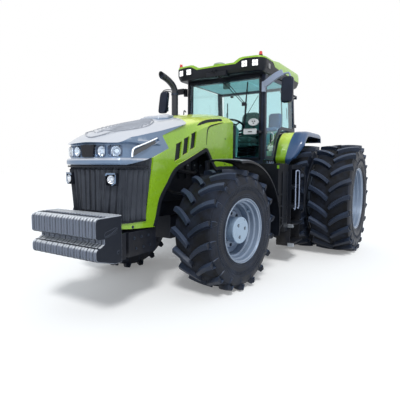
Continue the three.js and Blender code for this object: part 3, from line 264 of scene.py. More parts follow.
def remesh(obj, triangles=False, flat=0.0):
    """Splits an object's faces into triangles, or merges the ones that lie flat together."""
    work = bmesh.new()
    work.from_mesh(obj.data)
    if triangles:
        bmesh.ops.triangulate(work, faces=work.faces)
    if flat:
        bmesh.ops.remove_doubles(work, verts=work.verts, dist=FLAT_WELD)
        bmesh.ops.dissolve_limit(work, angle_limit=math.radians(flat), verts=work.verts, edges=work.edges,
                                 delimit={"MATERIAL"})
    work.to_mesh(obj.data)
    work.free()
    return obj


def carve(obj, *tools, operation="DIFFERENCE"):
    """Cuts or keeps an object by closed shapes; flat triangles keep every cut exact."""
    for tool in tools:
        cutter = remesh(loop_object(obj.name + "_tool", tool), triangles=True)
        remesh(obj, triangles=True)
        step = obj.modifiers.new("carve", "BOOLEAN")
        step.operation, step.solver, step.object = operation, "EXACT", cutter
        step.material_mode = "INDEX"
        settle(obj)
        bpy.data.meshes.remove(cutter.data)
    return obj


def dress(obj, finishes, body, slot, bevel=0.0, angle=32.0, segments=2, stands_for=()):
    """Rounds the edges, shades them, gives the piece its finishes and lets it ride on its body."""
    # Clearing the list sets every face to the first slot, so the slots are put back after it.
    slots = [face.material_index for face in obj.data.polygons]
    obj.data.materials.clear()
    for finish in finishes:
        obj.data.materials.append(FINISHES[finish])
    obj.data.polygons.foreach_set("material_index", slots)
    obj.data.validate()
    if bevel:
        remesh(obj, flat=0.4)
        step = obj.modifiers.new("edges", "BEVEL")
        step.width, step.segments, step.limit_method = bevel, segments, "ANGLE"
        step.angle_limit = math.radians(angle)
        settle(obj)
    obj.data.shade_smooth()
    obj.data.set_sharp_from_angle(angle=math.radians(angle))
    if bevel:
        step = obj.modifiers.new("normals", "WEIGHTED_NORMAL")
        step.keep_sharp = True
    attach(obj, body)
    if stands_for:
        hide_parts(*stands_for)
    return obj


def piece(name, shape, finishes, body, slot, **edges):
    """A finished piece of a shape."""
    return dress(loop_object(name, shape), finishes, body, slot, **edges)


def eased(node, finishes, body, slot, bevel=0.006, angle=30.0, name=None, slots=None):
    """A frame node's own shape with its flats merged and its edges eased, standing for the node."""
    source = frame["nodes"][node]
    mesh = source.data.copy()
    work = bmesh.new()
    work.from_mesh(mesh)
    bmesh.ops.remove_doubles(work, verts=work.verts, dist=FLAT_WELD)
    bmesh.ops.dissolve_limit(work, angle_limit=math.radians(0.6), verts=work.verts, edges=work.edges)
    bmesh.ops.recalc_face_normals(work, faces=work.faces)
    work.to_mesh(mesh)
    work.free()
    mesh.polygons.foreach_set("material_index", [0] * len(mesh.polygons))
    if slots:
        for face in mesh.polygons:
            face.material_index = slots(face.center, face.normal)
    obj = bpy.data.objects.new(name or node + "_body", mesh)
    bpy.context.scene.collection.objects.link(obj)
    return dress(obj, finishes, body, slot, bevel=bevel, angle=angle, stands_for=(node,))


# ---------------------------------------------------------------- finishes
FINISHES = {}
DUST = (118, 110, 98)
EDGE_FALL = 5 / 6  # how alike the eased and the true normal are where an edge counts in full, as worn paint and as a painted highlight


def linear(colour):
    """Screen values 0-255 as linear light."""
    return tuple(((c / 255 + 0.055) / 1.055) ** 2.4 if c > 10 else c / 255 / 12.92 for c in colour) + (1,)


class Finish:
    """A node material: one Principled surface, with the detail that is added to it."""

    def __init__(self, name, colour, rough, metallic=0.0, **sockets):
        self.material = bpy.data.materials.new(name)
        self.material.use_nodes = True
        FINISHES[name] = self.material
        tree = self.material.node_tree
        self.nodes, self.links = tree.nodes, tree.links
        self.surface = self.nodes["Principled BSDF"]
        self.output = self.nodes["Material Output"]
        self.base = linear(colour)
        self.rough = rough
        self.set("Base Color", self.base)
        self.set("Roughness", rough)
        self.set("Metallic", metallic)
        for socket, value in sockets.items():
            self.set(socket.replace("_", " "), value)
        self.place = self.nodes.new("ShaderNodeTexCoord").outputs["Object"]
        self.normal = None

    def set(self, socket, value):
        self.surface.inputs[socket].default_value = value

    def link(self, source, target):
        self.links.new(source, target)
        return target

    def noise(self, scale, detail=3.0, rough=0.55, stretch=(1, 1, 1), offset=(0, 0, 0)):
        """Cloudy noise, 0 to 1; scale is features to the metre."""
        spread = self.nodes.new("ShaderNodeMapping")
        spread.inputs["Scale"].default_value = stretch
        spread.inputs["Location"].default_value = offset
        self.link(self.place, spread.inputs["Vector"])
        cloud = self.nodes.new("ShaderNodeTexNoise")
        cloud.inputs["Scale"].default_value = scale
        cloud.inputs["Detail"].default_value = detail
        cloud.inputs["Roughness"].default_value = rough
        self.link(spread.outputs[0], cloud.inputs["Vector"])
        return cloud.outputs["Fac"]

    def cells(self, scale):
        """Distance to the nearest of scattered points."""
        cell = self.nodes.new("ShaderNodeTexVoronoi")
        cell.inputs["Scale"].default_value = scale
        self.link(self.place, cell.inputs["Vector"])
        return cell.outputs["Distance"]

    def waves(self, scale, direction="X"):
        """Even waves across one direction, 0 to 1."""
        band = self.nodes.new("ShaderNodeTexWave")
        band.bands_direction = direction
        band.inputs["Scale"].default_value = scale
        self.link(self.place, band.inputs["Vector"])
        return band.outputs["Fac"]

    def along(self, axis, of=None):
        """One coordinate of the place, or of another vector."""
        split = self.nodes.new("ShaderNodeSeparateXYZ")
        self.link(of or self.place, split.inputs[0])
        return split.outputs["XYZ".index(axis)]

    def facing(self, axis="Z"):
        """How far the surface faces along an axis, -1 to 1."""
        return self.along(axis, self.nodes.new("ShaderNodeNewGeometry").outputs["Normal"])

    def edges(self, radius):
        """1 at outside edges, 0 on flats: it places worn edges and painted edge highlights."""
        eased_normal = self.nodes.new("ShaderNodeBevel")
        eased_normal.samples = 4
        eased_normal.inputs["Radius"].default_value = radius
        shape = self.nodes.new("ShaderNodeNewGeometry")
        dot = self.nodes.new("ShaderNodeVectorMath")
        dot.operation = "DOT_PRODUCT"
        self.link(eased_normal.outputs[0], dot.inputs[0])
        self.link(shape.outputs["Normal"], dot.inputs[1])
        return self.span(dot.outputs["Value"], 1.0, EDGE_FALL)

    def span(self, value, low, high, out_low=0.0, out_high=1.0, smooth=False):
        """Maps low..high to out_low..out_high, clamped."""
        step = self.nodes.new("ShaderNodeMapRange")
        step.interpolation_type = "SMOOTHSTEP" if smooth else "LINEAR"
        for i, number in enumerate((low, high, out_low, out_high), 1):
            step.inputs[i].default_value = number
        self.link(value, step.inputs[0])
        return step.outputs[0]

    def product(self, a, b):
        """Two values, or a value and a number, multiplied."""
        step = self.nodes.new("ShaderNodeMath")
        step.operation = "MULTIPLY"
        for i, value in enumerate((a, b)):
            if isinstance(value, (int, float)):
                step.inputs[i].default_value = value
            else:
                self.link(value, step.inputs[i])
        return step.outputs[0]

    def tint(self, colour, mask):
        """Lays another colour over the base where mask is 1."""
        mix = self.nodes.new("ShaderNodeMix")
        mix.data_type = "RGBA"
        links = self.surface.inputs["Base Color"].links
        if links:
            self.link(links[0].from_socket, mix.inputs[6])
        else:
            mix.inputs[6].default_value = self.base
        mix.inputs[7].default_value = linear(colour)
        self.link(mask, mix.inputs[0])
        self.link(mix.outputs[2], self.surface.inputs["Base Color"])
        return self

    def vary(self, socket, mask, low, high):
        """Runs a socket from low to high with the mask."""
        self.link(self.span(mask, 0.0, 1.0, low, high), self.surface.inputs[socket])
        return self

    def bump(self, height, depth, strength=1.0):
        """Relief of the given depth in metres; later calls lie on top of earlier ones."""
        step = self.nodes.new("ShaderNodeBump")
        step.inputs["Strength"].default_value = strength
        step.inputs["Distance"].default_value = depth
        self.link(height, step.inputs["Height"])
        if self.normal:
            self.link(self.normal, step.inputs["Normal"])
        self.normal = step.outputs[0]
        self.link(self.normal, self.surface.inputs["Normal"])
        return self

    def dusty(self, height=1.1, amount=0.35):
        """Field dust in patches, thicker towards the ground."""
        low = self.span(self.along("Z"), height, 0.05)
        cloud = self.span(self.noise(3.1, 5, 0.65), 0.4, 0.75)
        self.tint(DUST, self.product(self.product(low, cloud), amount))
        return self


def shaded(colour, share, lift=0):
    """A colour made darker or lighter by a share."""
    return tuple(min(255, int(c * share + lift)) for c in colour)


def paint(name, colour, rough=0.28, metallic=0.0, coat=0.6, shade=None, dust=0.12):
    """Sprayed enamel: orange peel, faint cloudiness and a clear coat."""
    made = Finish(name, colour, rough, metallic, Coat_Weight=coat, Coat_Roughness=0.08)
    made.bump(made.noise(420, 2), 0.00012, 0.5)
    made.tint(shade or shaded(colour, 0.88), made.span(made.noise(2.3, 4), 0.35, 0.75, 0, 0.55))
    made.vary("Roughness", made.noise(7.0, 4, offset=(3, 1, 2)), rough * 0.75, rough * 1.4)
    if dust:
        made.dusty(height=1.3, amount=dust)
    return made


def plastic(name, colour, rough=0.5, grain=1400, depth=0.00018, light=None, edge_wear_and_highlight=0.0):
    """Moulded plastic with a pebbled grain."""
    made = Finish(name, colour, rough, Specular_IOR_Level=0.25)
    made.bump(made.cells(grain), depth, 0.6)
    made.tint(light or shaded(colour, 1.35, 6), made.span(made.noise(5.0, 5), 0.4, 0.8, 0, 0.5))
    made.vary("Roughness", made.noise(11.0, 4, offset=(5, 2, 7)), rough * 0.8, rough * 1.25)
    if edge_wear_and_highlight:
        made.tint((150, 158, 170), made.product(made.edges(0.004), edge_wear_and_highlight))
    return made


def casting(name, colour, rough=0.55, light=(92, 100, 114), edge_wear_and_highlight=0.35, dust=0.3):
    """Painted iron: sand-cast lumps, a pitted skin, paler edges that are worn paint and a painted highlight, and dust.
    """
    made = Finish(name, colour, rough, 0.15, Specular_IOR_Level=0.25)
    made.bump(made.noise(60, 5, 0.6), 0.0016, 0.5).bump(made.noise(480, 3), 0.0004, 0.6)
    # Paler edges: worn paint, and a painted edge highlight.
    made.tint(light, made.product(made.edges(0.006), edge_wear_and_highlight))
    made.dusty(amount=dust)
    made.vary("Roughness", made.noise(14, 5), rough * 0.75, rough * 1.25)
    return made


def metal(name, colour, rough=0.3, brushed=(1, 1, 1), scale=220, pits=0.00012):
    """Bare or plated metal with a direction to its scratches."""
    made = Finish(name, colour, rough, 1.0)
    grainy = made.noise(scale, 4, 0.6, stretch=brushed)
    made.bump(grainy, pits, 0.5).vary("Roughness", grainy, rough * 0.6, rough * 1.5)
    made.tint(shaded(colour, 0.72), made.span(made.noise(6, 5), 0.45, 0.8, 0, 0.6))
    return made


def rubber(name, colour, rough):
    """Tyre rubber: fine pebbling, scuffed high spots that also carry a painted highlight, and dust in the low ones."""
    made = Finish(name, colour, rough, Specular_IOR_Level=0.22)
    made.bump(made.noise(35, 5, 0.6), 0.0012, 0.45).bump(made.cells(900), 0.0003, 0.5)
    made.tint((38, 47, 66), made.span(made.noise(4.2, 6, 0.65), 0.42, 0.72, 0, 0.6))
    made.tint((58, 61, 68), made.product(made.span(made.noise(8.5, 6, 0.7, offset=(9, 4, 1)), 0.58, 0.82), 0.25))
    # Lighter bluish edges: scuffs, and a painted edge highlight.
    made.tint((74, 84, 102), made.product(made.edges(0.008), 0.35))
    made.vary("Roughness", made.noise(6.5, 5, offset=(1, 6, 2)), rough * 0.7, rough * 1.15)
    return made


def pane(name, colour, shade):
    """Tinted glass that lets the lamps through to what is behind it."""
    made = Finish(name, colour, 0.02, Transmission_Weight=1.0, IOR=1.3)
    made.bump(made.noise(1.6, 1), 0.0006, 0.15)
    ray, clear, mix = (made.nodes.new("ShaderNode" + kind) for kind in ("LightPath", "BsdfTransparent", "MixShader"))
    clear.inputs[0].default_value = (*shade, 1)
    made.link(ray.outputs["Is Shadow Ray"], mix.inputs[0])
    made.link(made.surface.outputs[0], mix.inputs[1])
    made.link(clear.outputs[0], mix.inputs[2])
    made.link(mix.outputs[0], made.output.inputs["Surface"])
    return made


def weave(name, colour, thread, scale=620):
    """Woven seat cloth: two crossed thread waves, mottled yarn and a soft sheen."""
    made = Finish(name, colour, 0.85, Sheen_Weight=0.35, Sheen_Roughness=0.5)
    over, under = made.waves(scale, "X"), made.waves(scale, "Z")
    made.bump(made.product(over, under), 0.0006, 0.8).bump(made.noise(90, 4), 0.0008, 0.3)
    made.tint(thread, made.span(made.product(over, under), 0.2, 0.9, 0, 0.5))
    made.tint(shaded(colour, 0.8), made.span(made.noise(14, 5), 0.4, 0.75, 0, 0.6))
    return made


def glowing(made, colour, strength):
    """Lets a finish give off a little light of its own."""
    made.set("Emission Color", linear(colour))
    made.set("Emission Strength", strength)


def lens(name, colour, glow=0.0, rough=0.08, ribs=0.0):
    """A moulded lamp lens; ribs is flutes to the metre."""
    made = Finish(name, colour, rough, Coat_Weight=1.0, Coat_Roughness=0.03)
    made.bump(made.noise(26, 2), 0.0004, 0.3)
    if ribs:
        made.bump(made.waves(ribs, "X"), 0.001, 0.6)
    made.tint(shaded(colour, 0.8), made.span(made.cells(70), 0.1, 0.5, 0, 0.5))
    if glow:
        glowing(made, colour, glow)
    return made


def make_finishes():
    """Every finish on the machine, in the colours of the palette."""
    colours = bpy.context.scene.tractor_palette
    lime, grey, silver = (tuple(round(c * 255) for c in colour)
                          for colour in (colours.lime, colours.fender, colours.silver))
    made = paint("lime_enamel", lime, 0.25, shade=(120, 166, 24))
    # Up-facing faces lighter and paler: a painted highlight.
    made.tint((222, 240, 112), made.span(made.facing(), 0.30, 0.90, 0.0, 0.92, smooth=True))
    paint("lime_roof", shaded(lime, 1, 8), 0.3, shade=(126, 176, 40))
    paint("lime_panel", (112, 160, 26), 0.4, coat=0.3)
    made = paint("nose_silver", silver, 0.3, metallic=0.3, coat=0.6, shade=(186, 192, 202))
    # Faces that turn from up are blue-grey: painted sky reflection and shade, standing also for the nose's darker side
    # panels.
    made.tint((84, 114, 148), made.span(made.facing(), 0.70, 0.15, 0.0, 0.9, smooth=True))
    paint("nose_rib", (172, 177, 187), 0.36, metallic=0.3, coat=0.4)
    paint("nose_shadow", (96, 116, 146), 0.35, metallic=0.3, coat=0.5)
    paint("fender_grey", grey, 0.33, coat=0.35, shade=(46, 76, 116))
    made = paint("wheel_enamel", (122, 138, 160), 0.38, metallic=0.3, coat=0.2, shade=(124, 140, 162), dust=0.25)
    # Pale edges on the rims: a painted edge highlight.
    made.tint((214, 222, 232), made.product(made.edges(0.004), 0.3))
    paint("hub_enamel", (150, 172, 194), 0.38, metallic=0.25, coat=0.2, shade=(150, 172, 198), dust=0.15)
    plastic("grained_black", (24, 28, 38), 0.48)
    plastic("satin_black", (18, 22, 31), 0.36, grain=2400, depth=0.00008)
    made = plastic("fender_black", (15, 19, 27), 0.4, grain=1500, depth=0.0001)
    # Up-facing faces lighter grey: a painted highlight.
    made.tint((150, 156, 166), made.span(made.facing(), 0.55, 0.97, 0.0, 0.65, smooth=True))
    plastic("mirror_shell", (20, 28, 44), 0.33, grain=2600, depth=0.00008, light=(36, 47, 70))
    plastic("tank_black", (11, 15, 23), 0.42, grain=900, depth=0.00022)
    plastic("pillar_black", (34, 42, 60), 0.34, grain=2400, depth=0.00006, light=(58, 68, 92))
    plastic("arch_rubber", (17, 21, 30), 0.62, grain=700, depth=0.0003)
    # The trim inside the cab is coloured lighter than it is, to make up for the shade inside the cab: painted light.
    plastic("cab_trim", (92, 144, 142), 0.6, light=(116, 168, 166))
    plastic("cab_dark", (72, 112, 112), 0.55)
    made = plastic("ceiling", (170, 206, 208), 0.8, grain=500, depth=0.0003)
    # The ceiling gives off a faint light of its own though it is no lamp: painted light in the cab.
    glowing(made, (120, 170, 176), 0.5)
    plastic("receiver_white", (150, 162, 158), 0.45)
    plastic("lamp_shell", (204, 208, 212), 0.4, light=(224, 226, 228))
    plastic("bracket_grey", (146, 158, 184), 0.4, grain=1800, depth=0.0001, light=(150, 160, 182))
    plastic("screen_off", (14, 20, 26), 0.12, grain=3000, depth=0.00001)
    plastic("badge_black", (20, 22, 30), 0.2, grain=2800, depth=0.00004)
    made = plastic("grille_mesh", (22, 27, 37), 0.5, grain=160, depth=0.004, light=(78, 83, 92))
    # Faces that turn outboard are lighter: a painted highlight. The dark spots below stand for the shaded holes of the
    # mesh: painted shade.
    made.tint((86, 92, 104), made.span(made.facing("X"), 0.1, 0.5, 0.0, 0.35, smooth=True))
    made.tint((8, 9, 13), made.span(made.cells(150), 0.12, 0.34, 0.75, 0))
    casting("cast_black", (24, 29, 40), 0.5)
    casting("chassis_black", (20, 25, 35), 0.42, edge_wear_and_highlight=0.25)
    # The pale edges at full strength, the lighter tops and the lighter front faces of the weights are painted
    # highlights.
    made = casting("weight_iron", (26, 33, 50), 0.3, light=(206, 216, 232), edge_wear_and_highlight=1.0, dust=0.05)
    made.set("Specular IOR Level", 0.4)
    made.tint((222, 228, 236), made.span(made.facing(), 0.25, 0.85, 0.0, 0.95, smooth=True))
    made.tint((150, 162, 184), made.span(made.facing("Y"), -0.5, -1.0, 0.0, 0.35, smooth=True))
    # A darker copy of the weight iron without its painted highlights; where it shows between the slabs it is painted
    # shade.
    casting("weight_dark", (24, 30, 42), 0.5, light=(110, 120, 138), edge_wear_and_highlight=0.5, dust=0.1)
    metal("bright_steel", (188, 196, 206), 0.3, brushed=(1, 6, 1))
    metal("zinc", (150, 160, 172), 0.42, scale=90, pits=0.0003)
    metal("dark_steel", (70, 78, 92), 0.45)
    metal("tread_plate", (196, 204, 214), 0.38, scale=140, pits=0.0004)
    metal("mirror_glass", (214, 222, 228), 0.04, pits=0.00001)
    metal("reflector", (232, 236, 242), 0.12, scale=60, pits=0.0002)
    paint("stack_black", (28, 33, 44), 0.38, coat=0.2, shade=(40, 44, 54), dust=0)
    made = rubber("tread_rubber", (14, 19, 29), 0.46)
    # Lug tops and front faces lighter and bluer: painted highlights and sky reflection.
    made.tint((84, 98, 124), made.span(made.facing(), 0.15, 0.9, 0.0, 0.42, smooth=True))
    made.tint((66, 82, 110), made.span(made.facing("Y"), -0.35, -0.95, 0.0, 0.18, smooth=True))
    # Darker than the wall rubber: painted shade, for the floor between the lugs and the inside of the exhaust tip.
    rubber("groove_rubber", (9, 11, 16), 0.8)
    rubber("wall_rubber", (17, 22, 33), 0.5)
    rubber("hose_rubber", (18, 20, 25), 0.55)
    # The seat cloth is coloured lighter than it is, to make up for the shade inside the cab: painted light.
    weave("seat_weave", (58, 96, 90), (100, 140, 134))
    weave("seat_side", (34, 88, 140), (70, 124, 168), scale=520)
    pane("cab_glass", (218, 241, 242), shade=(0.86, 0.95, 0.96))
    pane("door_glass_tint", (200, 234, 240), shade=(0.86, 0.95, 0.96))
    pane("lamp_cover", (240, 246, 252), shade=(0.97, 0.98, 1.0))
    lens("lamp_clear", (236, 242, 250), glow=0.35, ribs=26)
    lens("lamp_bulb", (214, 224, 236), glow=0.16)
    lens("lamp_bright", (250, 252, 255), glow=0.9)
    lens("daylight_bar", (240, 246, 252), glow=0.6)
    lens("lamp_smoke", (30, 44, 58), rough=0.06)
    lens("beacon_red", (206, 48, 42), glow=0.25, ribs=60)
    lens("amber", (222, 128, 34), glow=0.08, ribs=50)
    lens("tail_red", (176, 26, 30), glow=0.08, ribs=50)


# ---------------------------------------------------------------- settings
class TractorPalette(bpy.types.PropertyGroup):
    lime: bpy.props.FloatVectorProperty(
        name="Body paint", description="Screen colour of the hood, roof and inner fenders",
        subtype="COLOR_GAMMA", min=0, max=1, default=(0.545, 0.722, 0.129))
    silver: bpy.props.FloatVectorProperty(
        name="Nose paint", description="Screen colour of the nose cap",
        subtype="COLOR_GAMMA", min=0, max=1, default=(0.80, 0.82, 0.86))
    fender: bpy.props.FloatVectorProperty(
        name="Outer fenders", description="Screen colour of the outer rear fenders",
        subtype="COLOR_GAMMA", min=0, max=1, default=(0.19, 0.31, 0.47))


class TractorSizes(bpy.types.PropertyGroup):
    front_lugs: bpy.props.IntProperty(
        name="Front lugs", description="Lugs on each side of a front tyre", default=18, min=8, max=40)
    rear_lugs: bpy.props.IntProperty(
        name="Rear lugs", description="Lugs on each side of a rear tyre", default=21, min=8, max=40)
    lug_height: bpy.props.FloatProperty(
        name="Lug height", description="How far the lugs stand out of the tread",
        default=0.052, min=0.01, max=0.08, unit="LENGTH")
    slabs: bpy.props.IntProperty(
        name="Weights", description="Suitcase weights on the nose", default=22, min=4, max=30)


class MakerOperator:
    """What every maker on the panel shares."""

    bl_options = {"REGISTER"}

    @classmethod
    def poll(cls, context):
        return context.mode == "OBJECT"


# ---------------------------------------------------------------- stage
EYE = (3.225, -5.5425, 1.613)
EYE_TURN = (84.574, -0.166, 32.17)
EYE_LENS = 33.69
SUN_TURN = (38, 6, 28)
SUN_STRENGTH, SUN_SPREAD = 2.0, 14
SKY_STRENGTH = 0.62
FLOOR_RADIUS = 60
FLOOR_GLOW = 0.2


def seen_directly(nodes, links):
    """1 for what the eye, a mirror or a pane looks at, 0 for light that falls on things."""
    ray = nodes.new("ShaderNodeLightPath")
    total = ray.outputs["Is Camera Ray"]
    for other in ("Is Glossy Ray", "Is Transmission Ray"):
        step = nodes.new("ShaderNodeMath")
        step.operation = "MAXIMUM"
        links.new(total, step.inputs[0])
        links.new(ray.outputs[other], step.inputs[1])
        total = step.outputs[0]
    return total


class TRACTOR_OT_stage(MakerOperator, bpy.types.Operator):
    """Sets out the pale floor, the soft daylight and the camera"""

    bl_idname = "tractor.stage"
    bl_label = "Stage"

    def execute(self, context):
        scene = context.scene
        scene.view_settings.view_transform = "Standard"
        self.floor()
        self.sky(scene)
        sun = bpy.data.lights.new("daylight", "SUN")
        sun.energy, sun.angle, sun.color = SUN_STRENGTH, math.radians(SUN_SPREAD), (1.0, 0.985, 0.96)
        lamp = bpy.data.objects.new("daylight", sun)
        lamp.rotation_euler = [math.radians(a) for a in SUN_TURN]
        scene.collection.objects.link(lamp)
        lens_data = bpy.data.cameras.new("view")
        lens_data.lens, lens_data.clip_end = EYE_LENS, 200
        view = bpy.data.objects.new("view", lens_data)
        view.location = EYE
        view.rotation_euler = [math.radians(a) for a in EYE_TURN]
        scene.collection.objects.link(view)
        scene.camera = view
        return {"FINISHED"}

    def floor(self):
        ground = loop_object("floor", Shape().lathe([(-0.02, FLOOR_RADIUS), (0, FLOOR_RADIUS)], (0, 0, 0), (0, 0, 1),
                                                    96))
        made = Finish("floor_paint", (236, 238, 240), 0.9)
        made.vary("Roughness", made.noise(0.8, 2), 0.85, 0.95)
        glow, both = made.nodes.new("ShaderNodeEmission"), made.nodes.new("ShaderNodeAddShader")
        level = made.span(seen_directly(made.nodes, made.links), 0, 1, 0, FLOOR_GLOW)
        made.link(level, glow.inputs["Strength"])
        made.link(made.surface.outputs[0], both.inputs[0])
        made.link(glow.outputs[0], both.inputs[1])
        made.link(both.outputs[0], made.output.inputs["Surface"])
        ground.data.materials.append(made.material)

    def sky(self, scene):
        world = bpy.data.worlds.new("daylight_sky")
        world.use_nodes = True
        nodes, links = world.node_tree.nodes, world.node_tree.links
        soft = nodes["Background"]
        soft.inputs["Color"].default_value = (0.90, 0.95, 1.0, 1)
        soft.inputs["Strength"].default_value = SKY_STRENGTH
        plain, mix = nodes.new("ShaderNodeBackground"), nodes.new("ShaderNodeMixShader")
        plain.inputs["Color"].default_value = (1, 1, 1, 1)
        plain.inputs["Strength"].default_value = 1.0
        links.new(seen_directly(nodes, links), mix.inputs[0])
        links.new(soft.outputs[0], mix.inputs[1])
        links.new(plain.outputs[0], mix.inputs[2])
        links.new(mix.outputs[0], nodes["World Output"].inputs["Surface"])
        scene.world = world


# ---------------------------------------------------------------- tyres and rims
AXLE = (1, 0, 0)  # a wheel's own axle, pointing outboard
CENTRE = (0, 0, 0)


def middle(node):
    """The middle of a node's box."""
    lo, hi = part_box(node)
    return (lo + hi) / 2


def wheel_place(centre, axis, side):
    """From a wheel's own frame, outboard along +X, to its place on that side of the machine."""
    axis = axis if axis.x > 0 else -axis
    turn = math.atan2(axis.y, axis.x)
    return Matrix.Translation(centre) @ Matrix.Rotation(turn, 4, "Z") @ Matrix.Diagonal((side, 1, 1, 1))


TYRE_SEGMENTS, WALL_STEPS = 104, 22
CARCASS = 0.03
LUG, WALL, GROOVE = 0, 1, 2  # slots of a tyre's finishes


def tread_radius(share, radius, crown):
    """Radius of the rounded tread at a share of the half-width."""
    return radius - crown * share ** 2.4


class Tyre:
    """A bar-lug tyre: its carcass, the chevron of lugs and the lines moulded in its walls."""

    def __init__(self, radius, half, bead, bead_half, lugs, lug_height):
        self.radius, self.half, self.bead, self.bead_half = radius, half, bead, bead_half
        self.lugs, self.lug_height = lugs, lug_height
        self.belt = radius - lug_height
        self.crown = 0.028

    def wall(self, share):
        """Half-width and radius down the side wall, share 0 at the bead and 1 at the shoulder."""
        table = [(0.0, self.bead_half), (0.10, self.bead_half + 0.018), (0.30, self.half * 0.965),
                 (0.48, self.half * 0.985), (0.66, self.half * 0.975), (0.82, self.half * 0.945),
                 (0.92, self.half * 0.91), (1.0, self.half * 0.86)]
        radius = self.bead + (self.belt - self.crown - self.bead) * share
        for (s0, w0), (s1, w1) in zip(table, table[1:]):
            if share <= s1:
                t = (share - s0) / (s1 - s0)
                t = t * t * (3 - 2 * t)
                return w0 + (w1 - w0) * t, radius
        return table[-1][1], radius

    def carcass(self):
        """The turned casing, thin at the bead, with its grooves' floor in its own slot."""
        side = [self.wall(s / WALL_STEPS) for s in range(WALL_STEPS + 1)]
        tread = [(self.half * 0.86 * t, tread_radius(t, self.belt, self.crown)) for t in (0.9, 0.75, 0.5, 0.25, 0.0)]
        outer = side + tread
        inner = [(self.half - 2 * CARCASS, self.belt - 3 * CARCASS), (self.bead_half - CARCASS, self.bead)]
        profile = [*outer, *[(-a, r) for a, r in reversed(outer[:-1])], *[(-a, r) for a, r in reversed(inner)], *inner]
        made = Shape().lathe(profile, CENTRE, AXLE, TYRE_SEGMENTS, WALL, closed=True)
        # The band between the lugs is rougher than the walls, and darker as painted shade between the lugs.
        for i, face in enumerate(made.faces):
            low = min(math.hypot(made.verts[k].y, made.verts[k].z) for k in face)
            made.slots[i] = GROOVE if low > self.belt - self.crown - 0.014 else WALL
        return made

    def point(self, across, arc_length, radius):
        """A point of the tyre; arc_length runs up the front of the wheel from hub height."""
        turn = arc_length / self.radius
        return Vector((across, -radius * math.cos(turn), radius * math.sin(turn)))

    def lug(self, side, start):
        """One lug: across the tread from the middle, then down over the shoulder."""
        edge = self.half * 0.955
        stations = []
        for share in (0.03, 0.1, 0.25, 0.42, 0.6, 0.78, 0.92, 1.0):
            rise = edge * (1.02 * share - 0.36 * share ** 2)
            top = tread_radius(share, self.radius, self.crown * 0.75)
            base = tread_radius(min(share / 0.9, 1.0), self.belt, self.crown) - 0.012
            width = (0.054 + 0.022 * share) * self.radius ** 0.5
            stations.append((edge * share, rise, base, edge * share, top, width))
        last = stations[-1]
        for drop, out, width in ((0.965, 0.004, 0.08), (0.88, 0.012, 0.084), (0.76, 0.010, 0.072),
                                 (0.66, 0.002, 0.05)):
            wide, radius = self.wall(drop)
            stations.append((wide - 0.03, last[1] + (0.965 - drop) * 0.06, radius, min(wide + out, self.half),
                             radius, width * self.radius ** 0.5))
        rings = []
        for i, (a0, rise, r0, a1, r1, width) in enumerate(stations):
            j, k = max(i - 1, 0), min(i + 1, 7)
            lean, along = 0.0, 0.5 * width
            if i < 8:  # the stations on the tread; the rest run straight down the wall
                slope = (stations[k][1] - stations[j][1]) / max(stations[k][0] - stations[j][0], 1e-6)
                stretch = math.hypot(1, slope)
                lean, along = 0.5 * width * (slope / stretch), 0.5 * width / stretch
            ring = []
            for across, level in ((-1.5, 0.0), (-1.04, 0.8), (-0.82, 1.0), (0.82, 1.0), (1.04, 0.8), (1.5, 0.0)):
                a = max(min(a0 + (a1 - a0) * level - across * lean, self.half), 0.004)
                ring.append(self.point(side * a, start + rise + across * along, r0 + (r1 - r0) * level))
            rings.append(ring if side > 0 else ring[::-1])
        return rings

    def shape(self):
        made = self.carcass()
        pitch = 2 * math.pi * self.radius / self.lugs
        for n in range(self.lugs):
            for side, stagger in ((1, 0.0), (-1, 0.5)):
                made.rings(self.lug(side, (n + stagger) * pitch), LUG)
        for side in (1, -1):
            self.mould_lines(made, side)
        return made

    def mould_lines(self, made, side):
        """Raised lines round a wall, and a ring of short ribs below the shoulder."""
        for share, proud, wide in ((0.12, 0.006, 0.008), (0.2, 0.004, 0.004), (0.56, 0.004, 0.005),
                                   (0.6, 0.004, 0.003)):
            w, r = self.wall(share)
            ring = [(w - 0.006, r - wide), (w + proud, r - wide / 2), (w + proud, r + wide / 2),
                    (w - 0.006, r + wide)]
            made.lathe([(side * a, b) for a, b in ring], CENTRE, AXLE, TYRE_SEGMENTS, WALL, closed=True)
        w, r = self.wall(0.46)
        for turn in circle(self.lugs * 6):
            made.rings([
                [self.point(side * (w + depth), turn * self.radius + across, r + along)
                 for across, along in ((-0.004, -0.022), (0.004, -0.022), (0.003, 0.022), (-0.003, 0.022))]
                for depth in (-0.008, 0.0035)
            ], WALL)


def rim_profile(flange, half, well):
    """The rolled steel rim seen from inside its dish, then back along the tyre side."""
    dish = [
        (half + 0.008, flange + 0.004), (half + 0.015, flange - 0.002), (half + 0.012, flange - 0.012),
        (half - 0.002, flange - 0.018), (half - 0.012, flange - 0.032), (half - 0.062, flange - 0.038),
        (half - 0.074, flange - 0.056), (half - 0.128, flange - 0.062), (half - 0.142, flange - 0.08),
        (well, flange - 0.086), (-well, flange - 0.086), (-half + 0.12, flange - 0.08),
        (-half + 0.10, flange - 0.045), (-half + 0.012, flange - 0.034), (-half + 0.002, flange - 0.018),
        (-half - 0.012, flange - 0.01), (-half - 0.014, flange), (-half - 0.006, flange + 0.005),
    ]
    back = [
        (-half + 0.004, flange - 0.004), (-half + 0.014, flange - 0.026), (-half + 0.108, flange - 0.034),
        (-half + 0.128, flange - 0.07), (half - 0.148, flange - 0.07), (half - 0.136, flange - 0.052),
        (half - 0.08, flange - 0.047), (half - 0.068, flange - 0.029), (half - 0.006, flange - 0.024),
        (half, flange - 0.002),
    ]
    return dish + back


def ring_of(count, radius, x, start=0.0):
    """Evenly spaced places on a circle in the wheel's plane."""
    turns = [start + 2 * math.pi * n / count for n in range(count)]
    return [Vector((x, radius * math.cos(t), radius * math.sin(t))) for t in turns]


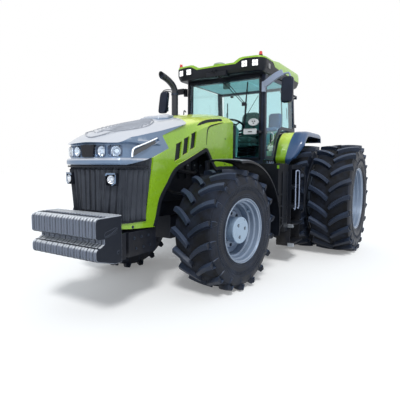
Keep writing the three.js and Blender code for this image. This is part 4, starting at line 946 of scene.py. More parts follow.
def front_rim(flange, half):
    """The stepped front rim with its disc, tall hub, bolts and the studs in its well."""
    made = Shape().lathe(rim_profile(flange, half, 0.05), CENTRE, AXLE, 96, closed=True)
    dish = [(0.034, flange - 0.082), (0.05, flange - 0.1), (0.052, 0.26), (0.07, 0.235), (0.07, 0.12), (0.05, 0.12),
            (0.05, 0.235), (0.034, 0.255), (0.03, flange - 0.1), (0.014, flange - 0.082)]
    made.lathe(dish, CENTRE, AXLE, 72, closed=True)
    hub = [(0.0, 0.15), (0.09, 0.15), (0.1, 0.166), (0.2, 0.168), (0.212, 0.173), (0.222, 0.17), (0.227, 0.163),
           (0.227, 0.1), (0.229, 0.098), (0.229, 0.0)]
    made.lathe(hub, CENTRE, AXLE, 60, 1)
    for p in ring_of(3, 0.088, 0.229, 0.2):
        made.disc(p - Vector((0.004, 0, 0)), (1, 0, 0), 0.021, 0.0055, 2, 20)
        made.disc(p, (1, 0, 0), 0.013, 0.007, 3, 6, 0.002)
    made.bolt(*ring_of(1, 0.15, 0.224, 1.0), AXLE, 0.009, 3)
    for p in ring_of(10, 0.205, 0.068, 0.3):
        made.bolt(p, AXLE, 0.016, 2)
    for p in ring_of(2, flange - 0.075, half - 0.11, 0.75):
        centre = Vector((p.x, p.y * 0.96, p.z * 0.96))
        made.tube([p, centre, centre + Vector((0.03, 0, 0))], 0.012, 8, 1)
    return made


def rear_rim(flange, half, disc_at, hub_reach):
    """A rear rim with its disc, clamp hub, bolts and the studs in its well."""
    made = Shape().lathe(rim_profile(flange, half, 0.06), CENTRE, AXLE, 104, closed=True)
    dish = [(disc_at - 0.01, flange - 0.082), (disc_at + 0.015, flange - 0.11), (disc_at, 0.36), (disc_at + 0.03, 0.32),
            (disc_at + 0.03, 0.16), (disc_at + 0.008, 0.16), (disc_at + 0.008, 0.31), (disc_at - 0.024, 0.35),
            (disc_at - 0.008, flange - 0.12), (disc_at - 0.032, flange - 0.082)]
    made.lathe(dish, CENTRE, AXLE, 84, closed=True)
    hub = [(disc_at - 0.06, 0.19), (disc_at + 0.05, 0.19), (disc_at + 0.06, 0.18), (disc_at + hub_reach, 0.17),
           (disc_at + hub_reach + 0.012, 0.16), (disc_at + hub_reach + 0.012, 0.062), (disc_at - 0.06, 0.062)]
    made.lathe(hub, CENTRE, AXLE, 60, 1, closed=True)
    for p in ring_of(10, 0.265, disc_at + 0.028, 0.2):
        made.bolt(p, AXLE, 0.018, 2)
    for p in ring_of(8, 0.125, disc_at + hub_reach + 0.012, 0.1):
        made.bolt(p, AXLE, 0.014, 2)
    for p in ring_of(4, flange - 0.1, half - 0.16, 0.5):
        inward = Vector((0, -p.y, -p.z)).normalized()
        made.tube([p, p + inward * 0.05, p + inward * 0.05 + Vector((0.04, 0, 0))], 0.014, 8, 1)
    return made


TYRE_FINISHES = ("tread_rubber", "wall_rubber", "groove_rubber")
RIM_FINISHES = ("wheel_enamel", "hub_enamel", "dark_steel", "zinc")
# Half-width, bead radius and half-width at the bead of each tyre.
FRONT_TYRE, REAR_TYRE = (0.298, 0.398, 0.262), (0.353, 0.546, 0.292)
# Flange radius and half-width of each rim.
FRONT_RIM, REAR_RIM = (0.411, 0.27), (0.56, 0.30)
FRONT_LUG_SHARE = 0.92  # a front lug's height, as a share of a rear one's


class TRACTOR_OT_front_wheels(MakerOperator, bpy.types.Operator):
    """Makes the two steered front wheels: lugged tyres, stepped rims and hubs"""

    bl_idname = "tractor.front_wheels"
    bl_label = "Front Wheels"

    def execute(self, context):
        sizes = context.scene.tractor_sizes
        radius = FRONT_SPIN["left"].z
        for side_name, side in SIDES:
            axis = Vector(JOINTS[f"front_wheel_spin_{side_name}"]["axis"])
            place = wheel_place(middle(f"front_tyre_{side_name}"), axis, side)
            rubber_shape = Tyre(radius, *FRONT_TYRE, sizes.front_lugs, sizes.lug_height * FRONT_LUG_SHARE).shape()
            piece(f"front_tyre_{side_name}_lugged", rubber_shape.moved(place), TYRE_FINISHES,
                  f"front_wheel_{side_name}", "tyre", angle=38, stands_for=(f"front_tyre_{side_name}",))
            piece(f"front_rim_{side_name}_pressed", front_rim(*FRONT_RIM).moved(place), RIM_FINISHES,
                  f"front_wheel_{side_name}", "rim_paint", angle=28, stands_for=(f"front_rim_{side_name}",))
        return {"FINISHED"}


class TRACTOR_OT_rear_wheels(MakerOperator, bpy.types.Operator):
    """Makes the rear duals: two lugged tyres a side, their rims, hubs and the bar axle"""

    bl_idname = "tractor.rear_wheels"
    bl_label = "Rear Duals"

    def execute(self, context):
        sizes = context.scene.tractor_sizes
        radius = REAR_AXLE.z
        for side_name, side in SIDES:
            body = f"rear_wheels_{side_name}"
            rims = Shape()
            for which in ("inner", "outer"):
                centre = middle(f"rear_{which}_tyre_{side_name}")
                spin = Matrix.Rotation(0.13 if which == "outer" else 0.05, 4, "X")
                place = wheel_place(centre, Vector((1, 0, 0)), side)
                rubber_shape = Tyre(radius, *REAR_TYRE, sizes.rear_lugs, sizes.lug_height).shape()
                piece(f"rear_{which}_tyre_{side_name}_lugged", rubber_shape.moved(place @ spin),
                      TYRE_FINISHES, body, "tyre", angle=38,
                      stands_for=(f"rear_{which}_tyre_{side_name}",))
                rims.join(rear_rim(*REAR_RIM, 0.03, 0.07 if which == "inner" else 0.11).moved(place))
                if which == "outer":
                    reach = place @ Vector((0.205, 0, 0))
                    rims.lathe([(0, 0.058), (abs(reach.x) - 0.4, 0.058), (abs(reach.x) - 0.395, 0.05)],
                               (side * 0.4, REAR_AXLE.y, REAR_AXLE.z), (side, 0, 0), 32, 3)
                    # The band between the two rims that carries the outer wheel.
                    gap = place @ Vector((-0.43, 0, 0))
                    rims.lathe([(-0.05, 0.47), (0.05, 0.47), (0.05, 0.455), (-0.05, 0.455)],
                               gap, (1, 0, 0), 72, 0, closed=True)
            rims.lathe([(0, 0.085), (0.04, 0.085), (0.04, 0.06), (0, 0.06)],
                       (side * 0.5005, REAR_AXLE.y, REAR_AXLE.z), (side, 0, 0), 32, 3, closed=True)
            piece(f"rear_rims_{side_name}_pressed", rims, RIM_FINISHES, body, "rim_paint", angle=28,
                  stands_for=(f"rear_rims_{side_name}",))
        return {"FINISHED"}


# ---------------------------------------------------------------- hood, nose and grille
# Along the hood from its front: y, foot x, then crease, flank and shoulder as (x, z), and the crown's z.
HOOD_BASE = 0.86
HOOD_SECTIONS = (
    (-4.66, 0.235, (0.330, 1.585), (0.325, 1.780), (0.240, 1.830), 1.842),
    (-4.57, 0.240, (0.345, 1.590), (0.335, 1.800), (0.250, 1.845), 1.862),
    (-4.535, 0.330, (0.415, 1.595), (0.405, 1.830), (0.290, 1.888), 1.915),
    (-4.44, 0.410, (0.460, 1.605), (0.440, 1.868), (0.300, 1.948), 1.985),
    (-4.20, 0.462, (0.480, 1.630), (0.450, 1.908), (0.300, 2.028), 2.064),
    (-3.90, 0.480, (0.485, 1.720), (0.450, 1.968), (0.300, 2.098), 2.137),
    (-3.50, 0.480, (0.490, 1.885), (0.440, 2.088), (0.300, 2.182), 2.222),
    (-2.979, 0.480, (0.490, 2.115), (0.425, 2.218), (0.290, 2.276), 2.315),
    (-2.499, 0.480, (0.485, 2.215), (0.415, 2.291), (0.280, 2.346), 2.385),
    (-2.08, 0.475, (0.478, 2.275), (0.400, 2.336), (0.270, 2.386), 2.425),
)
HOOD_OUTLINE = (
    (-4.95, 1.11), (-4.58, 1.11), (-4.544, 0.99), (-4.5015, 0.912), (-4.03, 0.885), (-3.995, 1.0), (-3.93, 1.205),
    (-3.624, 1.56), (-2.959, 1.812), (-2.878, 1.80), (-2.65, 1.563), (-2.07, 1.563), (-2.07, 2.6), (-4.95, 2.6),
)
NOSE_OUTLINE = (
    (-4.95, 1.607), (-4.48, 1.607), (-4.06, 1.69), (-3.77, 1.806), (-3.86, 1.955), (-3.339, 2.15),
    (-3.06, 2.42), (-4.95, 2.42),
)
GRILLE_OUTLINE = ((-4.95, 1.70), (-4.06, 1.70), (-4.176, 0.973), (-4.515, 0.973), (-4.515, 0.85), (-4.95, 0.85))
HOOD_WALL = 0.025
HOOD_FRONT, HOOD_BACK = HOOD_SECTIONS[0][0], HOOD_SECTIONS[-1][0]
TOOL_FOOT = 0.5  # a tool's foot stands this high, well under the hood's


def run_of(y):
    """The hood's sizes at one y, as a flat list, straight between its sections."""
    rows = [(s[0], s[1], *s[2], *s[3], *s[4], s[5]) for s in HOOD_SECTIONS]
    y = min(max(y, rows[0][0]), rows[-1][0])
    for a, b in zip(rows, rows[1:]):
        if y <= b[0]:
            t = (y - a[0]) / (b[0] - a[0])
            return [p + (q - p) * t for p, q in zip(a, b)]
    return list(rows[-1])


def hood_wall_x(y, z):
    """Half the hood's width at a height."""
    _, foot, cx, cz, fx, fz, sx, sz, _ = run_of(y)
    for (x0, z0), (x1, z1) in zip(((foot, HOOD_BASE), (cx, cz), (fx, fz)), ((cx, cz), (fx, fz), (sx, sz))):
        if z <= z1:
            return x0 + (x1 - x0) * (z - z0) / max(z1 - z0, 1e-6)
    return sx


def hood_top_z(x, y):
    """Height of the hood's skin over a place."""
    *_, fx, fz, sx, sz, crown = run_of(y)
    x = abs(x)
    if x <= sx:
        return crown + (sz - crown) * (x / sx) ** 2.2
    return sz + (fz - sz) * min((x - sx) / max(fx - sx, 1e-6), 1.0) ** 1.2


def hood_ring(row, drop=0.0, foot_z=HOOD_BASE):
    """One cross-section with soft corners; drop sets the whole skin inwards."""
    y, foot, cx, cz, fx, fz, sx, sz, crown = row
    corners = [(foot - drop, foot_z), (cx - drop, cz - drop * 0.3), (fx - drop, fz - drop * 0.8),
               (sx - drop * 0.6, sz - drop)]
    softness = (None, 0.05, 0.22, 0.42)
    half = [corners[0]]
    ends = [*corners, (0.0, crown - drop)]
    for i in (1, 2, 3):
        before, here, after = (Vector(ends[k]) for k in (i - 1, i, i + 1))
        a = here + (before - here) * min(softness[i], 0.06 / max((before - here).length, 1e-4))
        b = here + (after - here) * min(softness[i], 0.5)
        for k in range(5):
            t = k / 4
            p = a * (1 - t) ** 2 + here * (2 * t * (1 - t)) + b * t ** 2
            half.append((p.x, p.y))
    half += [(sx * 0.32, crown - drop - 0.0035), (0.0, crown - drop)]
    ring = half + [(-x, z) for x, z in reversed(half[:-1])]
    return [at(x, y, z) for x, z in ring]


def hood_rows(start=HOOD_FRONT, end=HOOD_BACK):
    """The hood's sizes at close steps along it, its kinks smoothed."""
    ys, y = [], start
    while y < end:
        ys.append(y)
        y += 0.02 if y < -4.4 else 0.04
    rows = [run_of(y) for y in [*ys, end]]
    for _ in range(5):
        rows = [rows[0]] + [
            [b[0], *[(p + 2 * q + r) / 4 for p, q, r in zip(a[1:], b[1:], c[1:])]]
            for a, b, c in zip(rows, rows[1:], rows[2:])
        ] + [rows[-1]]
    return rows


def side_prism(outline, reach=1.2):
    """A tool cut to a side-view outline, right across the machine."""
    return Shape().prism("x", [(from_axle(y), z) for y, z in outline], -reach, reach)


def front_wall(levels, pleat=0.0, pitch=0.078):
    """The nose seen from above, ring by ring up its height: levels are (z, set in at the face)."""
    rings = []
    for z, inset in levels:
        face = hood_wall_x(-4.57, min(z, 1.80))
        half = [(0.0, -4.612), (face * 0.35, -4.609), (face * 0.68, -4.598), (face * 0.93, -4.577)]
        for y in (-4.556, -4.535, -4.50, -4.44, -4.36, -4.28, -4.20, -4.05, -3.90, -3.70, -3.50, -3.2):
            half.append((hood_wall_x(y, min(z, run_of(y)[5])), y))
        curve = smooth_path([(x, y, 0) for x, y in half], 8)
        for _ in range(14):
            curve[1:-1] = [(a + 2 * b + c) / 4 for a, b, c in zip(curve, curve[1:], curve[2:])]
        run, ring = 0.0, []
        for i, p in enumerate(curve):
            a, b = curve[max(i - 2, 0)], curve[min(i + 2, len(curve) - 1)]
            run += (p - curve[i - 1]).length if i else 0.0
            along = (b - a).normalized()
            outward = Vector((-along.y, along.x, 0)) * -1 if i else Vector((0, -1, 0))
            fade = min(max((-3.86 - p.y) / 0.3, 0.0), 1.0)
            wave = pleat * (0.5 + 0.5 * math.cos(2 * math.pi * run / pitch)) ** 0.6 if pleat else 0.0
            ring.append(p + outward * (-(inset + wave) * fade))
        ring[0].x = 0.0
        full = ring + [Vector((-p.x, p.y, 0)) for p in reversed(ring[1:])]
        rings.append([at(p.x, p.y, z) for p in full])
    return Shape().rings(rings)


def top_cutter():
    """All that lies under the hood's skin, wider than the nose so that it trims only its top."""
    rings = []
    for row in hood_rows():
        wide = list(row)
        wide[1], wide[2], wide[4] = row[1] + 0.08, row[2] + 0.08, row[4] + 0.06
        rings.append(hood_ring(wide, foot_z=TOOL_FOOT))
    return Shape().rings(rings)


def on_flank(edge, out):
    """(y, z) places laid on the hood's side, or out from it."""
    return [at(hood_wall_x(y, z) + out, y, z) for y, z in edge]


VENTS = [(-3.665 + 0.172 * i, 1.645 + 0.075 * i) for i in range(3)]
# Along the daylight strip, from its foot at the face to its tail.
DAYLIGHT_LINE = ((-4.395, 1.690), (-4.385, 1.742), (-4.355, 1.788), (-4.25, 1.823), (-4.10, 1.872), (-3.965, 1.918))
# Lamp openings: name, x, width, turn in degrees.
LAMP_CELLS = (("inner", 0.182, 0.125, 5), ("outer", 0.348, 0.15, 26))


def lamp_frame(x, turn):
    """A place on the nose's face, looking out of it along its own -Y."""
    y = -4.60 if x < 0.25 else -4.548
    return Matrix.Translation(at(x, y, 1.756)) @ Matrix.Rotation(math.radians(turn), 4, "Z")


def lamp_opening(wide):
    """The front-view outline of one opening in the lamp band."""
    return rounded(-wide / 2, wide / 2, -0.062, 0.058, 0.028)


class TRACTOR_OT_nose(MakerOperator, bpy.types.Operator):
    """Makes the nose cap with its lamp band, lip, ribs and daylight strips"""

    bl_idname = "tractor.nose"
    bl_label = "Nose Cap"

    def execute(self, context):
        levels = [(1.58, 0.0), (1.607, -0.004), (1.62, -0.014), (1.655, -0.014), (1.672, -0.004), (1.682, 0.028),
                  (1.828, 0.034), (1.842, -0.002), (1.852, -0.014), (1.868, -0.016), (1.89, -0.006), (1.95, 0.0),
                  (2.45, 0.0)]
        cap = loop_object("nose_cap_pressed", front_wall(levels))
        carve(cap, top_cutter(), side_prism(NOSE_OUTLINE), operation="INTERSECT")
        carve(cap, Shape().rings([hood_ring(r, 2 * HOOD_WALL, TOOL_FOOT) for r in hood_rows(-4.50, -2.9)]))
        for _, x, wide, turn in LAMP_CELLS:
            cell = Shape().prism("y", lamp_opening(wide), -0.12, 0.075).moved(lamp_frame(x, turn))
            carve(cap, cell, cell.mirrored())
        carve(cap, self.strip_recess(), self.strip_recess().mirrored())
        dress(cap, ("nose_silver",), "hood", "silver_paint", bevel=0.006, angle=30, stands_for=("nose_cap",))
        self.ribs()
        self.scoops()
        self.lamps()
        self.daylight()
        return {"FINISHED"}

    def strip_recess(self):
        """A tool for the hollow that the daylight strip lies in."""
        edge = [(-4.40, 1.685), (-4.392, 1.75), (-4.36, 1.802), (-3.955, 1.935), (-3.925, 1.885),
                (-4.0, 1.845), (-4.17, 1.765)]
        return Shape().rings([on_flank(edge, out) for out in (-0.018, 0.08)])

    def ribs(self):
        """Fine diagonal ribs pressed into the top, and the ring round them."""
        made = Shape()
        for n in range(15):
            start = -4.47 + n * 0.058
            for side in (1, -1):
                line = []
                for k in range(12):
                    x = 0.015 + 0.305 * k / 11
                    y = start + 0.55 * (x - 0.015) + 0.1 * x * x
                    if math.hypot(x / 0.325, (y + 4.08) / 0.445) > 1:
                        continue
                    line.append(at(side * x, y, hood_top_z(x, y) - 0.0005))
                if len(line) > 2:
                    made.strip(line, 0.011, 0.009, (0, 1, 0))
        ring = []
        for turn in circle(48):
            x, y = 0.335 * math.sin(turn), -4.08 + 0.46 * math.cos(turn)
            ring.append(at(x, y, hood_top_z(x, y) + 0.001))
        made.tube(ring, 0.006, 6, 0, closed=True)
        piece("nose_ribs", made, ("nose_rib",), "hood", "silver_paint", angle=40)

    def scoops(self):
        """The raised six-sided panel behind the ribs, with a smaller step on top of it."""
        made = Shape()
        edge = [(0.0, -3.60), (0.16, -3.56), (0.21, -3.42), (0.15, -3.22), (0.0, -3.20), (-0.15, -3.22), (-0.21, -3.42),
                (-0.16, -3.56)]
        for scale, lift in (((1.0, 0.0), (0.94, 0.022)), ((0.80, 0.02), (0.72, 0.034))):
            lower, upper = [], []
            for x, y in edge:
                for store, (s, up) in ((lower, scale), (upper, lift)):
                    px, py = x * s, -3.40 + (y + 3.40) * s
                    store.append(at(px, py, hood_top_z(px, py) + up))
            made.rings([[p - Vector((0, 0, 0.02)) for p in lower], lower, upper])
        piece("nose_panel", made, ("nose_silver",), "hood", "silver_paint", bevel=0.006, angle=25)

    def lamps(self):
        """The head lamps' buckets, bulbs and covers, and the blank plate between them."""
        for label, x, wide, turn in LAMP_CELLS:
            place = lamp_frame(x, turn)
            bucket, glow, front = Shape(), Shape(), Shape()
            bucket.rings([
                [(px * s, depth, pz * s) for px, pz in lamp_opening(wide)]
                for depth, s in ((0.078, 1.06), (0.022, 1.06), (0.012, 1.0), (0.06, 0.92))
            ])
            bowl = [(0.0, 0.0), (0.0, 0.022), (-0.022, 0.042), (-0.034, 0.049), (-0.036, 0.053), (-0.006, 0.053),
                    (0.004, 0.05)]
            bucket.lathe([(-a, r) for a, r in reversed(bowl)], (0.012, 0.058, -0.004), (0, -1, 0), 28, 1)
            glow.lathe([(0.0, 0.029), (0.012, 0.028), (0.026, 0.020), (0.032, 0.0)], (0.012, 0.062, -0.004),
                       (0, -1, 0), 24, 0)
            front.prism("y", rounded(-wide / 2 + 0.004, wide / 2 - 0.004, -0.057, 0.053, 0.024), -0.004, 0.001)
            for name, side in SIDES:
                piece(f"head_lamp_{label}_{name}_bucket", bucket.moved(place).on(side), ("nose_shadow", "reflector"),
                      "hood", "black_plastic", angle=35)
                piece(f"head_lamp_{label}_{name}_bulb", glow.moved(place).on(side), ("lamp_bulb",), "hood",
                      "lamp_white", angle=40)
                piece(f"head_lamp_{label}_{name}_cover", front.moved(place).on(side), ("lamp_cover",), "hood", "glass",
                      bevel=0.002)
        badge = Shape().prism("y", [(-0.085, 1.69), (0.085, 1.69), (0.108, 1.822), (-0.108, 1.822)],
                              from_axle(-4.606), from_axle(-4.55))
        piece("nose_blank_badge", badge, ("badge_black",), "hood", "black_plastic", bevel=0.006)

    def daylight(self):
        """The light strips and the smoked lenses under them."""
        for name, side in SIDES:
            bar = Shape().strip(smooth_path(on_flank(DAYLIGHT_LINE, 0.002), 4), 0.016, 0.015, (1, 0, 0.2))
            piece(f"daylight_strip_{name}", bar.on(side), ("daylight_bar",), "hood", "lamp_white", bevel=0.003)
            edge = [(-4.375, 1.695), (-4.35, 1.765), (-4.24, 1.805), (-4.10, 1.853), (-3.985, 1.893), (-3.99, 1.86),
                    (-4.15, 1.785), (-4.30, 1.728)]
            smoke = Shape().rings([on_flank(edge, out) for out in (-0.024, -0.006)])
            piece(f"nose_side_lens_{name}", smoke.on(side), ("lamp_smoke",), "hood", "black_plastic", bevel=0.003)


class TRACTOR_OT_hood(MakerOperator, bpy.types.Operator):
    """Makes the hood shell with its vents, grooves, dark top louvre and arch edging"""

    bl_idname = "tractor.hood"
    bl_label = "Hood"

    def execute(self, context):
        hood = loop_object("hood_pressed", Shape().rings([hood_ring(r) for r in hood_rows()]))
        # The tool for the inside runs out past the hood's end, so that no sheet is left across it.
        inside = [hood_ring(r, HOOD_WALL, TOOL_FOOT) for r in hood_rows(-4.52)]
        carve(hood, Shape().rings([*inside, [p + Vector((0, 0.1, 0)) for p in inside[-1]]]))
        carve(hood, side_prism(HOOD_OUTLINE), operation="INTERSECT")
        carve(hood, side_prism(NOSE_OUTLINE), side_prism(GRILLE_OUTLINE))
        for y, z in VENTS:
            slot = [(y, z), (y + 0.125, z + 0.045), (y + 0.165, z + 0.262), (y + 0.04, z + 0.217)]
            carve(hood, side_prism(slot))
        for side in (1, -1):
            carve(hood, *(tool.on(side) for tool in self.grooves()))
        dress(hood, ("lime_enamel",), "hood", "lime_paint", bevel=0.005, angle=30, stands_for=("hood_shell",))
        self.vent_mesh()
        self.louvres()
        self.edging()
        return {"FINISHED"}

    def grooves(self):
        """Tools for the pressed line that turns along the side like a stick, and the shallow one under it."""
        line = [(-2.90, 1.88), (-2.893, 2.0), (-2.872, 2.10), (-2.80, 2.152), (-2.6, 2.200), (-2.38, 2.243)]
        low = [(-3.70, 1.70), (-3.66, 1.655), (-3.58, 1.625), (-3.2, 1.755), (-2.98, 1.835)]
        return [Shape().tube(smooth_path(on_flank(edge, out), 4), radius)
                for edge, out, radius in ((line, 0.004, 0.013), (low, 0.005, 0.010))]

    def vent_mesh(self):
        """The dark sheets behind the vents, with their cross slats."""
        made = Shape()
        for y, z in VENTS:
            edge = [(y - 0.01, z - 0.012), (y + 0.135, z + 0.038), (y + 0.175, z + 0.272), (y + 0.03, z + 0.222)]
            made.rings([on_flank(edge, out) for out in (-0.028, -0.018)])
            for k in range(8):
                b = z + 0.035 + k * 0.027
                shift = (b - z) * 0.18
                made.box(at(0.455, y + 0.002 + shift, b - 0.003), at(0.474, y + 0.128 + shift, b + 0.003))
        piece("hood_vent_mesh", made.both(), ("grained_black",), "hood", "black_plastic", angle=30)

    def louvres(self):
        """The long dark slot beside the crown, with its blades, and a dark strip laid in the pressed line as its
        painted shade.
        """
        made, line = Shape(), ((-3.09, 2.140), (-2.98, 2.180), (-2.8, 2.222), (-2.6, 2.252), (-2.38, 2.278))
        middle_line = smooth_path(on_flank(line, -0.001), 4)
        widths = [0.2 + 0.8 * math.sin(math.pi * min(i / 9, 1) / 2) for i in range(len(middle_line))]
        slant = Vector((-0.45, 0, 0.89))
        for level, wide in ((0.003, 0.026), (0.006, 0.021)):
            proud, rings = Vector((level, 0, level / 2)), []
            for p, w in zip(middle_line, widths):
                low, high = p - slant * wide * w, p + slant * wide * w
                rings.append([low, high, high + proud, low + proud])
            made.rings(rings)
        for p in middle_line[3:-1:2]:
            made.strip([p - slant * 0.02 + Vector((0.006, -0.012, 0)), p + slant * 0.02 + Vector((0.006, 0.012, 0))],
                       0.02, 0.006, (0, 1, 0))
        # A dark strip laid in the pressed line stands for the shade in that groove: painted shade.
        line = [(-2.902, 1.885), (-2.893, 2.0), (-2.872, 2.10), (-2.80, 2.152), (-2.6, 2.200), (-2.40, 2.24)]
        path = smooth_path(on_flank(line, -0.003), 4)
        made.tube(path, [0.002 + 0.008 * math.sin(math.pi * i / (len(path) - 1)) for i in range(len(path))])
        piece("hood_top_louvres", made.both(), ("satin_black",), "hood", "black_plastic", angle=30)

    def edging(self):
        """The rubber lip along the wheel arch and the bolt in the lower corner."""
        line = [(-4.045, 0.892), (-4.005, 0.995), (-3.94, 1.205), (-3.80, 1.375),
                (-3.637, 1.55), (-3.3, 1.683), (-2.965, 1.805), (-2.92, 1.813), (-2.875, 1.79), (-2.66, 1.57),
                (-2.5, 1.562), (-2.1, 1.562)]
        lip = Shape().strip(smooth_path(on_flank(line, -0.006), 5), 0.034, 0.05, (1, 0, 0))
        piece("hood_arch_edging", lip.both(), ("arch_rubber",), "hood", "black_plastic", bevel=0.006, angle=40)
        bolts = Shape().bolt(at(0.431, -4.37, 0.925), (0.97, -0.25, 0), 0.011)
        for y, z in ((-2.35, 1.62), (-2.35, 2.0)):
            bolts.bolt(at(0.481, y, z), (1, 0, 0), 0.008)
        piece("hood_bolts", bolts.both(), ("dark_steel",), "hood", "steel", angle=30)


class TRACTOR_OT_grille(MakerOperator, bpy.types.Operator):
    """Makes the pleated grille with its mesh, frame and fog lamps"""

    bl_idname = "tractor.grille"
    bl_label = "Grille"

    def execute(self, context):
        levels = [(0.80, 0.02), (0.98, 0.02), (0.985, 0.01), (1.555, 0.01), (1.562, 0.024), (1.72, 0.024)]
        mesh = loop_object("grille_pleated", front_wall(levels, pleat=0.026))
        inner = [[at(x, y, z) for x, y in ((-0.20, -4.52), (0.20, -4.52), (0.35, -4.36), (0.40, -3.2), (-0.40, -3.2),
                                           (-0.35, -4.36))] for z in (0.75, 1.75)]
        carve(mesh, side_prism(GRILLE_OUTLINE), operation="INTERSECT")
        carve(mesh, side_prism(NOSE_OUTLINE))
        carve(mesh, side_prism(HOOD_OUTLINE), operation="INTERSECT")
        carve(mesh, Shape().rings(inner))
        dress(mesh, ("grille_mesh",), "hood", "black_plastic", bevel=0.003, angle=35, stands_for=("grille",))
        trim = Shape()
        for z, out, end in ((0.983, 0.004, -4.19), (1.588, -0.006, -4.14)):
            ring = front_wall([(z, -out), (z + 0.01, -out)]).verts
            path = [p for p in ring[: len(ring) // 2] if p.y < from_axle(end)]
            # The ring starts in the middle of the face, so its right half goes before its left one.
            trim.strip(sorted(path, key=lambda p: p.x >= 0), 0.02, 0.018, (0, 0, 1))
        piece("grille_frame", trim, ("satin_black",), "hood", "black_plastic", bevel=0.003)
        self.fog_lamps()
        return {"FINISHED"}

    def fog_lamps(self):
        """The work lamps in the grille, each with its frame and brow."""
        place = (Matrix.Translation(at(0.325, -4.572, 1.455)) @ Matrix.Rotation(math.radians(14), 4, "Z")
                 @ Matrix.Scale(0.84, 4))
        frame_shape, brow, glow = Shape(), Shape(), Shape()
        frame_shape.rings([
            [(x * s, depth, z * s) for x, z in rounded(-0.072, 0.072, -0.082, 0.078, 0.012)]
            for depth, s in ((0.05, 1.0), (-0.018, 1.0), (-0.024, 0.94), (0.016, 0.84), (0.02, 0.3))
        ])
        brow.prism("y", [(-0.075, 0.046), (-0.06, 0.078), (0.066, 0.078), (0.066, 0.058), (-0.045, 0.056),
                         (-0.058, 0.04)], -0.034, -0.016)
        brow.prism("y", [(0.058, -0.03), (0.066, 0.06), (0.074, 0.05), (0.074, -0.05), (0.02, -0.084),
                         (0.012, -0.07), (0.045, -0.052)], -0.03, -0.016)
        bowl = [(0.0, 0.022), (0.012, 0.04), (0.03, 0.05), (0.034, 0.054), (0.0, 0.054)]
        frame_shape.lathe(bowl, (0.004, 0.012, -0.006), (0, -1, 0), 28, 1)
        glow.lathe([(0.0, 0.022), (0.01, 0.02), (0.02, 0.013), (0.024, 0.0)], (0.004, 0.008, -0.006), (0, -1, 0), 20)
        for name, side in SIDES:
            piece(f"fog_lamp_{name}_frame", frame_shape.moved(place).on(side), ("satin_black", "reflector"), "hood",
                  "black_plastic", bevel=0.002)
            piece(f"fog_lamp_{name}_brow", brow.moved(place).on(side), ("nose_silver",), "hood", "silver_paint",
                  bevel=0.002)
            piece(f"fog_lamp_{name}_bulb", glow.moved(place).on(side), ("lamp_bulb",), "hood", "lamp_white", angle=40)


# ---------------------------------------------------------------- weights, axle and driveline
def weight_outline(back, front, top, bottom):
    """Side view of one suitcase weight: two noses with a notch between them."""
    line = [(back, top), (front + 0.06, top)]
    line += arc((front + 0.05, top - 0.05), 0.05, 90, 180, 5)
    line += [(front, top - 0.19), (front + 0.025, top - 0.21), (front + 0.12, top - 0.215), (front + 0.12, top - 0.27),
             (front + 0.06, top - 0.30)]
    line += arc((front + 0.05, top - 0.35), 0.05, 90, 180, 4)
    line += [(front, top - 0.39)] + arc((front + 0.045, top - 0.39), 0.045, 180, 262, 4)
    line += [(front + 0.265, bottom), (back, bottom)]
    return line


